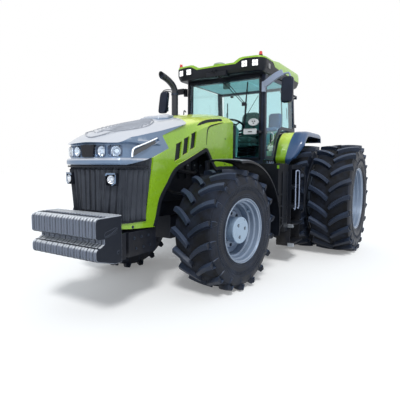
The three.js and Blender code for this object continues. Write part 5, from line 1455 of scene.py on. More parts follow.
class TRACTOR_OT_weights(MakerOperator, bpy.types.Operator):
    """Makes the rack of suitcase weights, their grips and the carrier behind them"""

    bl_idname = "tractor.weights"
    bl_label = "Front Weights"

    def execute(self, context):
        lo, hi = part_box("front_weights")
        count = context.scene.tractor_sizes.slabs
        pitch = (hi.x - lo.x) / count
        rack = Shape()
        for n in range(count):
            x = lo.x + (n + 0.5) * pitch
            outer = weight_outline(hi.y, lo.y + 0.004 * (n % 2), hi.z, lo.z + 0.002 * (n % 3))
            centre_y, centre_z = (lo.y + hi.y) / 2, (lo.z + hi.z) / 2
            small = [(centre_y + (y - centre_y) * 0.975, centre_z + (z - centre_z) * 0.982) for y, z in outer]
            half = pitch / 2
            rack.rings([[(x + w, y, z) for y, z in line] for w, line in (
                (-half * 0.80, small), (-half * 0.52, outer), (half * 0.52, outer), (half * 0.80, small))])
            # A darker core across the full pitch shows between the slabs as dark lines: painted shade in the gaps.
            core = [(centre_y + (y - centre_y) * 0.95, centre_z + (z - centre_z) * 0.965) for y, z in outer]
            rack.rings([[(x + w, y, z) for y, z in core] for w in (-half + 0.0002, half - 0.0002)], 1)
            # The hook that holds each slab shows as a ridge along its top.
            rack.box((x - half * 0.5, hi.y - 0.2, hi.z - 0.004), (x + half * 0.5, hi.y - 0.03, hi.z + 0.008))
            # A dark strip on each top stands for the shaded hollow there: painted shade.
            rack.box((x - half * 0.35, lo.y + 0.075, hi.z - 0.004), (x + half * 0.35, hi.y - 0.215, hi.z + 0.005), 1)
        for side in (1, -1):
            x = hi.x * side
            grip = Shape().prism("x", rounded(-0.10, 0.085, -0.03, 0.03, 0.028), 0, 0.005)
            place = Matrix.Translation(((hi.x - 0.001) * side, (lo.y + hi.y) / 2 + 0.035, hi.z - 0.16))
            tilt = Matrix.Rotation(math.radians(12), 4, "X")
            rack.join(grip.moved(place @ tilt @ Matrix.Diagonal((side, 1, 1, 1))), 1)
            rack.tube([(x, p[0], p[1]) for p in (
                ((lo.y + hi.y) / 2 - 0.05, hi.z - 0.20), ((lo.y + hi.y) / 2 + 0.03, hi.z - 0.175),
                ((lo.y + hi.y) / 2 + 0.12, hi.z - 0.13))], 0.009, 6, 1)
            rack.bolt((x, hi.y - 0.06, lo.z + 0.12), (side, 0, 0), 0.015, 1)
        piece("suitcase_weights", rack, ("weight_iron", "weight_dark"), "chassis", "cast_iron", bevel=0.003, angle=40,
              segments=1, stands_for=("front_weights",))
        eased("weight_carrier", ("cast_black",), "chassis", "cast_iron", bevel=0.006, name="weight_carrier_cast")
        extra = Shape()
        for z in (0.66, 0.82):
            for x in (0.09, 0.30, 0.42):
                extra.bolt(at(x, -4.5145, z), (0, 1, 0), 0.012)
        for y in (-4.12, -4.24, -4.36):
            extra.bolt(at(0.44, y, 0.80), (1, 0, 0), 0.014).bolt(at(0.44, y + 0.03, 0.68), (1, 0, 0), 0.012)
        piece("weight_carrier_bolts", extra.both(), ("dark_steel",), "chassis", "steel", angle=30)
        return {"FINISHED"}


class TRACTOR_OT_driveline(MakerOperator, bpy.types.Operator):
    """Makes the frame rails, engine, front axle, gear case and drawbar with their bolts and hoses"""

    bl_idname = "tractor.driveline"
    bl_label = "Driveline"

    def execute(self, context):
        for node, finish, slot in (
            ("front_frame", "chassis_black", "cast_iron"), ("engine_block", "cast_black", "cast_iron"),
            ("front_axle_housing", "cast_black", "cast_iron"), ("rear_housing", "cast_black", "cast_iron"),
            ("drawbar", "chassis_black", "cast_iron"), ("cowl", "satin_black", "black_plastic"),
        ):
            eased(node, (finish,), "chassis", slot, bevel=0.008, angle=28, name=node + "_finished")
        self.engine_dress()
        self.rail_dress()
        self.case_dress()
        return {"FINISHED"}

    def engine_dress(self):
        """Valve cover ribs, filters, pipes and a belt drive on the block."""
        made = Shape()
        for k in range(6):
            y = -3.42 + k * 0.17
            made.box(at(-0.10, y, 1.878), at(0.10, y + 0.1, 1.905), 0)
            for side in (1, -1):
                made.tube(smooth_path([at(0.10 * side, y + 0.05, 1.86), at(0.18 * side, y + 0.04, 1.85),
                                       at(0.238 * side, y + 0.02, 1.74)], 4), 0.013, 8, 1)
                made.box(at(min(0.238 * side, 0.262 * side), y, 1.42),
                         at(max(0.238 * side, 0.262 * side), y + 0.09, 1.66), 0)
                made.bolt(at(0.262 * side, y + 0.045, 1.60), (side, 0, 0), 0.009, 1)
        for side in (1, -1):
            made.lathe([(0, 0.05), (0.2, 0.05), (0.22, 0.035)], at(0.30 * side, -2.62, 1.22), (0, 0, 1), 24, 2)
            made.lathe([(0, 0.04), (0.17, 0.04), (0.19, 0.028)], at(0.295 * side, -2.78, 1.25), (0, 0, 1), 24, 2)
            made.box(at(min(0.235 * side, 0.36 * side), -2.86, 1.42), at(max(0.235 * side, 0.36 * side), -2.54, 1.47),
                     0)
            made.tube(smooth_path([at(0.24 * side, -3.5, 1.30), at(0.31 * side, -3.42, 1.24),
                                   at(0.32 * side, -3.1, 1.22),
                                   at(0.29 * side, -2.9, 1.30), at(0.24 * side, -2.84, 1.36)], 5), 0.018, 10, 3)
            made.tube(smooth_path([at(0.24 * side, -3.44, 1.62), at(0.33 * side, -3.35, 1.54),
                                   at(0.34 * side, -3.05, 1.50),
                                   at(0.28 * side, -2.84, 1.52)], 5), 0.024, 10, 3)
        made.lathe([(0, 0.11), (0.03, 0.12), (0.05, 0.12), (0.05, 0.03), (0.07, 0.03)], at(0, -3.60, 1.42),
                   (0, -1, 0), 28, 0)
        made.lathe([(0, 0.07), (0.05, 0.075), (0.055, 0.02)], at(0.15, -3.60, 1.60), (0, -1, 0), 24, 2)
        piece("engine_fittings", made, ("cast_black", "zinc", "satin_black", "hose_rubber"), "chassis", "cast_iron",
              bevel=0.003, segments=1)

    def rail_dress(self):
        made = Shape()
        for side in (1, -1):
            for y in (-4.18, -4.02, -3.86, -2.82, -2.66, -2.5, -2.34):
                for z in (0.975, 1.085):
                    made.bolt(at(0.2 * side, y, z), (side, 0, 0), 0.014, 0)
            made.tube(smooth_path([at(0.205 * side, -2.5, 1.15), at(0.26 * side, -2.7, 1.14),
                                   at(0.30 * side, -2.92, 1.10),
                                   at(0.40 * side, -3.02, 1.02), at(0.52 * side, -3.04, 0.96)], 5), 0.012, 8, 1)
            made.tube(smooth_path([at(0.205 * side, -2.5, 1.18), at(0.27 * side, -2.72, 1.18),
                                   at(0.33 * side, -2.98, 1.13),
                                   at(0.43 * side, -3.06, 1.05), at(0.55 * side, -3.07, 0.99)], 5), 0.010, 8, 1)
        piece("rail_bolts_and_hoses", made, ("zinc", "hose_rubber"), "chassis", "steel", angle=40)

    def case_dress(self):
        """Cover plates and their bolt rings on the gear case, and couplings at the back."""
        made = Shape()
        for side in (1, -1):
            for y, z, r in ((-0.9, 1.0, 0.13), (-1.45, 1.02, 0.11)):
                made.lathe([(0, r), (0.018, r), (0.026, r - 0.012), (0.026, 0.03), (0.034, 0.025)],
                           at(0.259 * side, y, z), (side, 0, 0), 32, 0)
                for p in ring_of(8, r - 0.022, 0.0):
                    made.bolt(at(0.283 * side, y + p.y, z + p.z), (side, 0, 0), 0.008, 1)
            for p in ring_of(10, 0.165, 0.0):
                made.bolt(at(0.3 * side, p.y * 0.9, 0.9927 + p.z * 0.9), (side, 0, 0), 0.011, 1)
        for i in range(4):
            x = -0.15 + 0.1 * i
            made.lathe([(0, 0.032), (0.03, 0.032), (0.035, 0.026), (0.05, 0.026), (0.052, 0.012), (0.03, 0.012)],
                       at(x, 0.349, 1.30), (0, 1, 0), 20, 2)
            made.lathe([(0.05, 0.03), (0.062, 0.03), (0.066, 0.024)], at(x, 0.352, 1.30), (0, 1, 0), 16, 3)
        made.lathe([(0, 0.085), (0.05, 0.085), (0.055, 0.08), (0.055, 0.05), (0.012, 0.05)], at(0, 0.34, 0.76),
                   (0, 1, 0), 32, 0)
        for p in ring_of(6, 0.068, 0.0):
            made.bolt(at(0, 0.394, 0.76) + Vector((p.y, 0, p.z)), (0, 1, 0), 0.006, 1)
        piece("case_fittings", made, ("cast_black", "zinc", "dark_steel", "beacon_red"), "chassis", "cast_iron",
              angle=30)


class TRACTOR_OT_steering(MakerOperator, bpy.types.Operator):
    """Makes the knuckles, tie rod and front fenders with their bolts and rolled lips"""

    bl_idname = "tractor.steering"
    bl_label = "Steering and Front Fenders"

    def execute(self, context):
        for side_name, side in SIDES:
            body = f"knuckle_{side_name}"
            eased(f"knuckle_{side_name}", ("cast_black",), body, "cast_iron", bevel=0.007,
                  name=f"knuckle_{side_name}_cast")
            self.fender(side_name, side, body)
        eased("tie_rod", ("dark_steel",), "tie_rod", "steel", bevel=0.004, name="tie_rod_turned")
        return {"FINISHED"}

    def fender(self, side_name, side, body):
        """A curved sheet over the tyre: rolled outer edge, crown rib, cut-back inner front corner."""
        spin = JOINTS[f"front_wheel_spin_{side_name}"]
        knuckle = Vector(JOINTS[f"steer_{side_name}"]["pos_m"])
        axis = Vector(spin["axis"])
        turn = math.atan2(axis.y, axis.x)
        place = Matrix.Translation((knuckle.x, knuckle.y, spin["pos_m"][2])) @ Matrix.Rotation(turn, 4, "Z")
        rings = []
        steps = 40
        for i in range(steps + 1):
            angle = math.radians(-12 + 110 * i / steps)
            height = 0.779 + 0.9 * math.sin(angle)
            clear = 0.07 + 0.10 * min(max((math.radians(86) - angle) / 0.25, 0.0), 1.0)
            inner = clear if height > 1.2 else clear + 0.12 * min((1.2 - height) / 0.4, 1.0)
            outline = []
            across = [(inner, 0.0), (inner + 0.02, 0.012), (0.12, 0.014), (0.20, 0.018), (0.40, 0.018), (0.47, 0.012),
                      (0.56, 0.006), (0.588, -0.004), (0.598, -0.034), (0.585, -0.034), (0.576, -0.014), (0.47, -0.004),
                      (0.40, 0.002), (0.20, 0.002), (0.12, -0.002), (inner + 0.02, -0.004), (inner, -0.012)]
            for x, lift in across:
                r = 0.889 + lift
                outline.append(Vector((side * max(x, inner),
                                       r * math.cos(angle), r * math.sin(angle))))
            rings.append([place @ p for p in outline])
        shell = Shape().rings(rings)
        for i in (10, 22, 32):
            angle = math.radians(-12 + 110 * i / steps)
            for x in (0.10, 0.36):
                p = Vector((side * x, 0.905 * math.cos(angle), 0.905 * math.sin(angle)))
                out = place.to_3x3() @ Vector((0, math.cos(angle), math.sin(angle)))
                shell.bolt(place @ p, out, 0.010, 1)
        piece(f"front_fender_{side_name}_moulded", shell, ("fender_black", "zinc"), body, "black_plastic", bevel=0.003,
              angle=35, stands_for=(f"front_fender_{side_name}",))


# ---------------------------------------------------------------- cab
ROOF_HALF, ROOF_FRONT, ROOF_BACK = 0.85, -1.83, 0.06
GLASS_FRONT = -1.546


def roof_stack(levels):
    """The roof seen from above, ring by ring; levels are (z, set in)."""
    rings = []
    for z, inset in levels:
        half = [(0.0, ROOF_FRONT), (0.45, ROOF_FRONT + 0.008)]
        half += arc((ROOF_HALF - 0.15, ROOF_FRONT + 0.18), 0.15, 270, 360, 6)
        half += [(ROOF_HALF, -1.2), (ROOF_HALF, -0.6)]
        half += [*arc((ROOF_HALF - 0.12, ROOF_BACK - 0.12), 0.12, 0, 90, 6), (0.0, ROOF_BACK)]
        ring = []
        for i, (x, y) in enumerate(half):
            a, b = Vector(half[max(i - 1, 0)]), Vector(half[min(i + 1, len(half) - 1)])
            along = (b - a).normalized()
            if i in (0, len(half) - 1):
                along = Vector((1, 0)) if i == 0 else Vector((-1, 0))
            ring.append((x - inset * along.y, y + inset * along.x))
        ring += [(-x, y) for x, y in reversed(ring[1:-1])]
        rings.append([at(x, y, z) for x, y in ring])
    return Shape().rings(rings)


def front_prism(outline, start, end):
    """A tool cut to a front-view outline between two places along the machine."""
    return Shape().prism("y", outline, from_axle(start), from_axle(end))


class TRACTOR_OT_roof(MakerOperator, bpy.types.Operator):
    """Makes the roof: dark visor, painted cap with its dip, ceiling, lamps, beacons and receiver"""

    bl_idname = "tractor.roof"
    bl_label = "Roof"

    def execute(self, context):
        levels = [(3.10, 0.06), (3.115, 0.035), (3.16, 0.012), (3.20, 0.0), (3.29, 0.0), (3.345, 0.010), (3.375, 0.026),
                  (3.392, 0.05), (3.40, 0.09)]
        half_dark = [(0.9, 3.296), (0.50, 3.312), (0.44, 3.300), (0.34, 3.240)]
        dark_line = [(-0.9, 3.0), (0.9, 3.0), *half_dark, *((-x, z) for x, z in reversed(half_dark))]
        half_cap = [(0.9, 3.322), (0.72, 3.336), (0.50, 3.338), (0.44, 3.326), (0.34, 3.266)]
        dip = [(-0.9, 3.45), *((-x, z) for x, z in half_cap), *reversed(half_cap), (0.9, 3.45)]
        rise = [(-1.30, 3.45), (-1.30, 3.336), (-1.05, 3.375), (-0.70, 3.392), (-0.70, 3.45)]
        side_line = [(-1.9, 3.0), (-1.9, 3.36), (-1.46, 3.345), (-1.30, 3.235), (-0.15, 3.205), (0.1, 3.20), (0.1, 3.0)]
        visor = loop_object("roof_visor_moulded", roof_stack(levels))
        carve(visor, front_prism(dark_line, -2.0, 0.2), side_prism(side_line), operation="INTERSECT")
        cap = loop_object("roof_cap_moulded", roof_stack([(z, inset - 0.003) for z, inset in levels]))
        carve(cap, roof_under(dark_line, side_line))
        carve(cap, front_prism(dip, -2.0, -1.2999), side_prism(rise))
        dress(visor, ("satin_black",), "chassis", "black_plastic", bevel=0.006, angle=30, stands_for=("roof_visor",))
        dress(cap, ("lime_roof",), "chassis", "lime_paint", bevel=0.008, angle=25, stands_for=("cab_roof",))
        ceiling = Shape().prism("z", frame_plan(rounded(-0.70, 0.70, -1.46, -0.30, 0.08)), 3.085, 3.103)
        ceiling.prism("z", frame_plan(rounded(-0.30, 0.30, -1.2, -0.6, 0.06)), 3.07, 3.09)
        for x in (-0.5, -0.2, 0.2, 0.5):
            ceiling.disc(at(x, -1.38, 3.072), (0, 0, -1), 0.035, 0.008, 1, 16, 0.003)
        piece("roof_lining", ceiling, ("ceiling", "cab_dark"), "chassis", "cab_trim", bevel=0.004)
        self.lamps()
        self.crown()
        return {"FINISHED"}

    def lamps(self):
        """The work lamps, each a frame with a glowing lens."""
        frame_shape, glow = Shape(), Shape()
        for x in (-0.71, -0.535, 0.535, 0.71):
            y = ROOF_FRONT + (0.004 if abs(x) < 0.6 else 0.03)
            turn = Matrix.Rotation(math.radians(0 if abs(x) < 0.6 else 14 * (1 if x > 0 else -1)), 4, "Z")
            place = Matrix.Translation(at(x, y, 3.222)) @ turn
            rim = Shape().rings([
                [(px * s, depth, pz * s) for px, pz in rounded(-0.056, 0.056, -0.054, 0.054, 0.012)]
                for depth, s in ((0.02, 1.0), (-0.006, 1.0), (-0.01, 0.95), (0.004, 0.88))])
            frame_shape.join(rim.moved(place))
            for u in (-0.024, 0.024):
                for v in (-0.024, 0.024):
                    cell = Shape().prism("y", rounded(u - 0.021, u + 0.021, v - 0.021, v + 0.021, 0.005), -0.005, 0.004)
                    glow.join(cell.moved(place))
        for side in (1, -1):
            cell = Shape().prism("x", rounded(from_axle(-1.585), from_axle(-1.50), 3.165, 3.245, 0.01), side * 0.845,
                                 side * 0.852)
            glow.join(cell, 1)
        frame_shape.prism("x", rounded(from_axle(-1.845), from_axle(-1.72), 3.075, 3.16, 0.02), -0.17, 0.21)
        piece("roof_lamp_frames", frame_shape, ("satin_black",), "chassis", "black_plastic", bevel=0.003)
        piece("roof_lamp_lenses", glow, ("lamp_bright", "lamp_smoke"), "chassis", "lamp_white", bevel=0.002)

    def crown(self):
        """What stands on the roof and its visor, on both sides."""
        for name, side in SIDES:
            x = 0.77 * side
            base = Shape().lathe([(0, 0.036), (0.012, 0.036), (0.016, 0.03), (0.02, 0.022)], at(x, -1.72, 3.335),
                                 (0, 0, 1), 28, 1)
            base.lathe([(0, 0.028), (0.03, 0.028), (0.052, 0.022), (0.058, 0.01), (0.059, 0.0)], at(x, -1.72, 3.351),
                       (0, 0, 1), 28)
            base.lathe([(0, 0.0295), (0.006, 0.0295)], at(x, -1.72, 3.366), (0, 0, 1), 28)
            piece(f"beacon_{name}_lens", base, ("beacon_red", "satin_black"), "chassis", "beacon_red", angle=40,
                  stands_for=(f"beacon_{name}",))
        dome = Shape().lathe([(0.0, 0.104), (0.02, 0.105), (0.036, 0.096), (0.047, 0.07), (0.052, 0.03), (0.053, 0.0)],
                             at(0, -1.68, 3.284), (0, 0, 1), 48)
        dome.lathe([(0, 0.06), (0.012, 0.06)], at(0, -1.68, 3.277), (0, 0, 1), 32, 1)
        dome.lathe([(0, 0.1045), (0, 0.107), (0.014, 0.107), (0.014, 0.1045)], at(0, -1.68, 3.286), (0, 0, 1), 40, 2,
                   closed=True)
        piece("receiver_dome", dome, ("receiver_white", "satin_black", "lime_roof"), "chassis", "lime_paint",
              angle=40, stands_for=("gps_receiver",))


def roof_under(front_line, side_line):
    """What the cap is cleared of: under the dark line at the front and under the side line behind it."""
    tool = loop_object("roof_under", front_prism([(x * 1.1, z) for x, z in front_line], -2.1, 0.3))
    carve(tool, side_prism([(y * 1.05 if y < -1.8 else y, z) for y, z in side_line]), operation="INTERSECT")
    made = Shape()
    made.verts = [v.co.copy() for v in tool.data.vertices]
    made.faces = [tuple(p.vertices) for p in tool.data.polygons]
    made.slots = [0] * len(made.faces)
    bpy.data.meshes.remove(tool.data)
    return made


def outside(centre, normal):
    """1 for the faces of the cab's tub that are seen from outside, 0 for those inside."""
    behind = centre.y > from_axle(-0.14) and normal.y > 0.3
    ahead = centre.y < from_axle(-1.52) and normal.y < -0.3
    return int(behind or ahead or normal.z < -0.5 or (abs(centre.x) > 0.735 and normal.x * centre.x > 0))


class TRACTOR_OT_cab_frame(MakerOperator, bpy.types.Operator):
    """Makes the cab's pillars, tub, door frame with its handle and rails, and the wipers"""

    bl_idname = "tractor.cab_frame"
    bl_label = "Cab Frame"

    def execute(self, context):
        eased("front_hoop", ("pillar_black",), "chassis", "black_steel", bevel=0.012, name="front_hoop_pressed")
        eased("rear_hoop", ("pillar_black",), "chassis", "black_steel", bevel=0.008, name="rear_hoop_pressed")
        eased("door_frame", ("pillar_black",), "door_left", "black_steel", bevel=0.006, name="door_frame_pressed")
        eased("cab_tub", ("cab_dark", "pillar_black"), "chassis", "cab_trim", bevel=0.008, name="cab_tub_trimmed",
              slots=outside)
        self.wipers()
        self.door_fittings()
        return {"FINISHED"}

    def wipers(self):
        """The wipers with their arms and blades."""
        made = Shape()
        made.box(at(-0.09, -1.80, 3.085), at(0.06, -1.735, 3.135))
        for shift in (0.0, 0.055):
            path = [at(-0.055 + shift, -1.862, 3.175), at(0.0 + shift, -1.845, 3.10), at(0.19 + shift, -1.70, 2.90),
                    at(0.405 + shift * 0.6, -1.582, 2.64)]
            made.tube(path, 0.006, 8)
            made.disc(at(-0.055 + shift, -1.845, 3.175), (0, -1, 0), 0.017, 0.030, 0, 16)
        made.box(at(0.385, -1.594, 2.60), at(0.465, -1.568, 2.66))
        blade = [at(0.475, -1.561, 2.985), at(0.462, -1.567, 2.80), at(0.448, -1.574, 2.62), at(0.434, -1.567, 2.42),
                 at(0.422, -1.561, 2.24)]
        made.strip(smooth_path(blade, 4), 0.010, 0.018, (0, 1, 0))
        made.strip([at(0.476, -1.553, 3.0), at(0.449, -1.553, 2.62), at(0.421, -1.553, 2.22)], 0.014, 0.006,
                   (0, 1, 0), 1)
        for t in (0.2, 0.5, 0.8):
            made.box(at(0.465 - 0.055 * t, -1.572, 3.0 - 0.78 * t - 0.02),
                     at(0.485 - 0.055 * t, -1.55, 3.0 - 0.78 * t + 0.02))
        piece("front_wipers", made, ("satin_black", "hose_rubber"), "chassis", "black_plastic", angle=35)

    def door_fittings(self):
        """What is fixed to the door and opens with it."""
        made = Shape()
        x = 0.853
        made.box(at(x - 0.004, -1.465, 1.98), at(x + 0.012, -1.425, 2.12), 0)
        made.tube(smooth_path([at(x, -1.43, 2.0), at(x + 0.035, -1.42, 2.03), at(x + 0.035, -1.42, 2.12),
                               at(x, -1.43, 2.15)], 4),
                  0.009, 8, 1)
        made.disc(at(x + 0.004, -1.447, 1.95), (1, 0, 0), 0.014, 0.008, 1, 16, 0.003)
        piece("door_left_handle", made, ("satin_black", "bright_steel"), "door_left", "black_plastic", bevel=0.002)
        rail = Shape().tube(smooth_path([at(0.80, -1.40, 1.86), at(0.735, -1.36, 1.88), at(0.73, -1.1, 2.02),
                                         at(0.73, -0.86, 2.18), at(0.80, -0.82, 2.2)], 5), 0.012, 8)
        piece("door_left_inner_rail", rail, ("satin_black",), "door_left", "black_plastic", angle=40)
        post = Shape()
        for side in (1, -1):
            post.tube(smooth_path([at(0.775 * side, -1.56, 1.78), at(0.80 * side, -1.60, 1.80),
                                   at(0.80 * side, -1.60, 2.55),
                                   at(0.775 * side, -1.56, 2.58)], 4), 0.010, 8, 0)
        piece("pillar_grab_rails", post, ("satin_black",), "chassis", "black_steel", angle=40)


class TRACTOR_OT_glass(MakerOperator, bpy.types.Operator):
    """Makes the glazing with its dark printed borders"""

    bl_idname = "tractor.glass"
    bl_label = "Glass"

    def execute(self, context):
        for node, body, finish in (("windshield", "chassis", "cab_glass"), ("rear_window", "chassis", "cab_glass"),
                                   ("right_window", "chassis", "cab_glass"),
                                   ("door_glass", "door_left", "door_glass_tint")):
            eased(node, (finish,), body, "glass", bevel=0.0015, name=node + "_pane")
        band = Shape()
        for x0, x1, z0, z1 in ((-0.722, -0.69, 1.70, 3.09), (0.69, 0.722, 1.70, 3.09), (-0.722, 0.722, 1.695, 1.73),
                               (-0.722, 0.722, 3.055, 3.094)):
            band.box(at(x0, GLASS_FRONT - 0.0035, z0), at(x1, GLASS_FRONT - 0.0005, z1))
        piece("windshield_border", band, ("satin_black",), "chassis", "black_plastic")
        hardware = Shape()
        for x in (-0.55, 0.55):
            hardware.box(at(x - 0.03, -0.160, 3.03), at(x + 0.03, -0.125, 3.075))
            hardware.tube([at(x * 1.2, -0.155, 2.72), at(x * 1.25, -0.20, 2.5)], 0.008, 8, 1)
        hardware.box(at(-0.08, -0.160, 2.262), at(0.08, -0.135, 2.30))
        hardware.tube([at(0.05, -0.14, 3.02), at(-0.22, -0.135, 2.62)], 0.006, 6)
        hardware.strip([at(-0.20, -0.146, 2.88), at(-0.25, -0.146, 2.40)], 0.012, 0.012, (0, 1, 0))
        piece("rear_window_fittings", hardware, ("satin_black", "zinc"), "chassis", "black_plastic", bevel=0.002)
        return {"FINISHED"}


class TRACTOR_OT_mirrors(MakerOperator, bpy.types.Operator):
    """Makes the mirrors, their brackets, and the lamps at the windshield's foot"""

    bl_idname = "tractor.mirrors"
    bl_label = "Mirrors and Side Lamps"

    def execute(self, context):
        for side_name, side in SIDES:
            lo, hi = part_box(f"mirror_{side_name}")
            x = (hi.x - 0.098) if side > 0 else -(-lo.x - 0.098)
            self.mirror(side_name, side, x, lo.z, lo.z + 0.395)
            self.side_lamp(side_name, side)
        return {"FINISHED"}

    def mirror(self, side_name, side, x, low, high):
        """One mirror head with its glass and its arm."""
        head, glass = Shape(), Shape()
        y = -1.612
        rings = []
        for t, grow in ((0.0, 0.55), (0.03, 0.82), (0.10, 0.96), (0.35, 1.0), (0.8, 0.98), (0.93, 0.9), (0.985, 0.7),
                        (1.0, 0.45)):
            z = low + (high - low) * t
            lean = 0.016 * side * (t - 0.5) if side > 0 else 0.06 * (t - 0.5)
            outline = rounded(-0.097 * grow, 0.097 * grow, -0.046 * (0.4 + 0.6 * grow), 0.046, 0.034 * grow, 5)
            rings.append([at(x + lean + px, y + py, z) for px, py in outline])
        head.rings(rings)
        for z0, z1 in ((low + 0.14, high - 0.03), (low + 0.03, low + 0.125)):
            plate = [(x + px, z) for px, z in rounded(-0.078, 0.078, z0, z1, 0.02)]
            glass.prism("y", plate, from_axle(y + 0.042), from_axle(y + 0.0485))
        arm = Shape()
        top = high + 0.035
        if side > 0:
            # A broad cast bracket off the pillar, then the bent tube that holds the head.
            arm.strip(smooth_path([at(0.772, -1.575, 2.905), at(0.86, -1.60, 2.945), at(0.98, -1.615, 3.01),
                                   at(1.10, -1.615, 3.06)], 5), 0.055, 0.095, (0, 1, 0), 1)
            arm.tube(smooth_path([at(1.05, -1.615, 3.02), at(x - 0.03, -1.615, top + 0.02),
                                  at(x + 0.03, -1.615, top + 0.005),
                                  at(x + 0.055, -1.612, high - 0.12)], 6), 0.015, 10, 1)
            arm.box(at(0.745, -1.60, 2.80), at(0.80, -1.545, 2.96), 1)
            arm.bolt(at(0.80, -1.585, 2.84), (1, 0, 0), 0.008, 2)
        else:
            arm.box(at(-0.80, -1.60, 2.86), at(-0.745, -1.545, 3.0), 0)
            arm.box(at(-0.97, -1.635, 2.90), at(-0.78, -1.585, 3.0), 0)
            for drop in (0.0, 0.05):
                arm.tube(smooth_path([at(-0.93, -1.612, 2.97 - drop), at(x + 0.10, -1.612, top - drop * 0.6),
                                      at(x - 0.02, -1.612, top - 0.02 - drop * 0.4),
                                      at(x - 0.035, -1.612, high - 0.1)], 6),
                         0.009, 8, 0)
        piece(f"mirror_{side_name}_shell", head, ("mirror_shell",), "chassis", "black_plastic", angle=50,
              stands_for=(f"mirror_{side_name}",))
        piece(f"mirror_{side_name}_glass", glass, ("mirror_glass",), "chassis", "steel", bevel=0.002)
        piece(f"mirror_{side_name}_arm", arm, ("satin_black", "bracket_grey", "zinc"), "chassis", "black_steel",
              bevel=0.004)

    def side_lamp(self, side_name, side):
        """A round work lamp in an oval pale shell over a square-cornered one, on a bracket."""
        oval, box = Shape(), Shape()
        place = Matrix.Translation(at(0.652, -1.69, 2.305)) @ Matrix.Rotation(math.radians(8), 4, "Z")
        shell = [[(0.082 * s * math.cos(t) * (1 + 0.06 * math.cos(2 * t)), depth, 0.062 * s * math.sin(t))
                  for t in circle(28)]
                 for depth, s in ((0.035, 0.55), (0.028, 0.85), (0.0, 1.0), (-0.03, 0.97), (-0.036, 0.9),
                                  (-0.028, 0.84))]
        oval.rings(shell)
        oval.lathe([(0.0, 0.050), (0.010, 0.050), (0.012, 0.046), (0.004, 0.044), (0.0, 0.0)],
                   (0.006, -0.026, -0.002), (0, -1, 0),
                   24, 0)
        for u, v in ((-0.018, 0.012), (0.018, 0.012), (0.0, -0.018)):
            oval.disc((0.006 + u, -0.030, v - 0.002), (0, -1, 0), 0.010, 0.006, 2, 16)
        oval.tube([(0, 0.0, -0.055), (0, 0.01, -0.10)], 0.012, 8, 2)
        box.rings([[(px * s, depth, pz * s) for px, pz in rounded(-0.108, 0.108, -0.045, 0.045, 0.014)]
                   for depth, s in ((0.03, 0.86), (0.02, 1.0), (-0.03, 1.0), (-0.036, 0.96), (-0.03, 0.88))])
        box.prism("y", rounded(-0.03, 0.04, -0.012, 0.002, 0.005), -0.038, -0.026, 2)
        lower = Matrix.Translation(at(0.592, -1.685, 2.157)) @ Matrix.Rotation(math.radians(8), 4, "Z")
        made = oval.moved(place).join(box.moved(lower))
        made.box(at(0.70, -1.675, 2.13), at(0.75, -1.54, 2.17), 2)
        piece(f"side_lamp_{side_name}_shell", made.on(side), ("lamp_shell", "lamp_clear", "satin_black"), "chassis",
              "lamp_white", bevel=0.003, angle=35, stands_for=(f"side_lamp_{side_name}",))


# ---------------------------------------------------------------- fenders, tanks, steps and exhaust
FENDER_LINE = ((-0.985, 1.60), (-1.055, 1.70), (-1.03, 1.80), (-0.935, 1.99), (-0.80, 2.13), (-0.64, 2.195),
               (-0.3, 2.20),
               (0.02, 2.20), (0.16, 2.192), (0.228, 2.145), (0.252, 2.045))


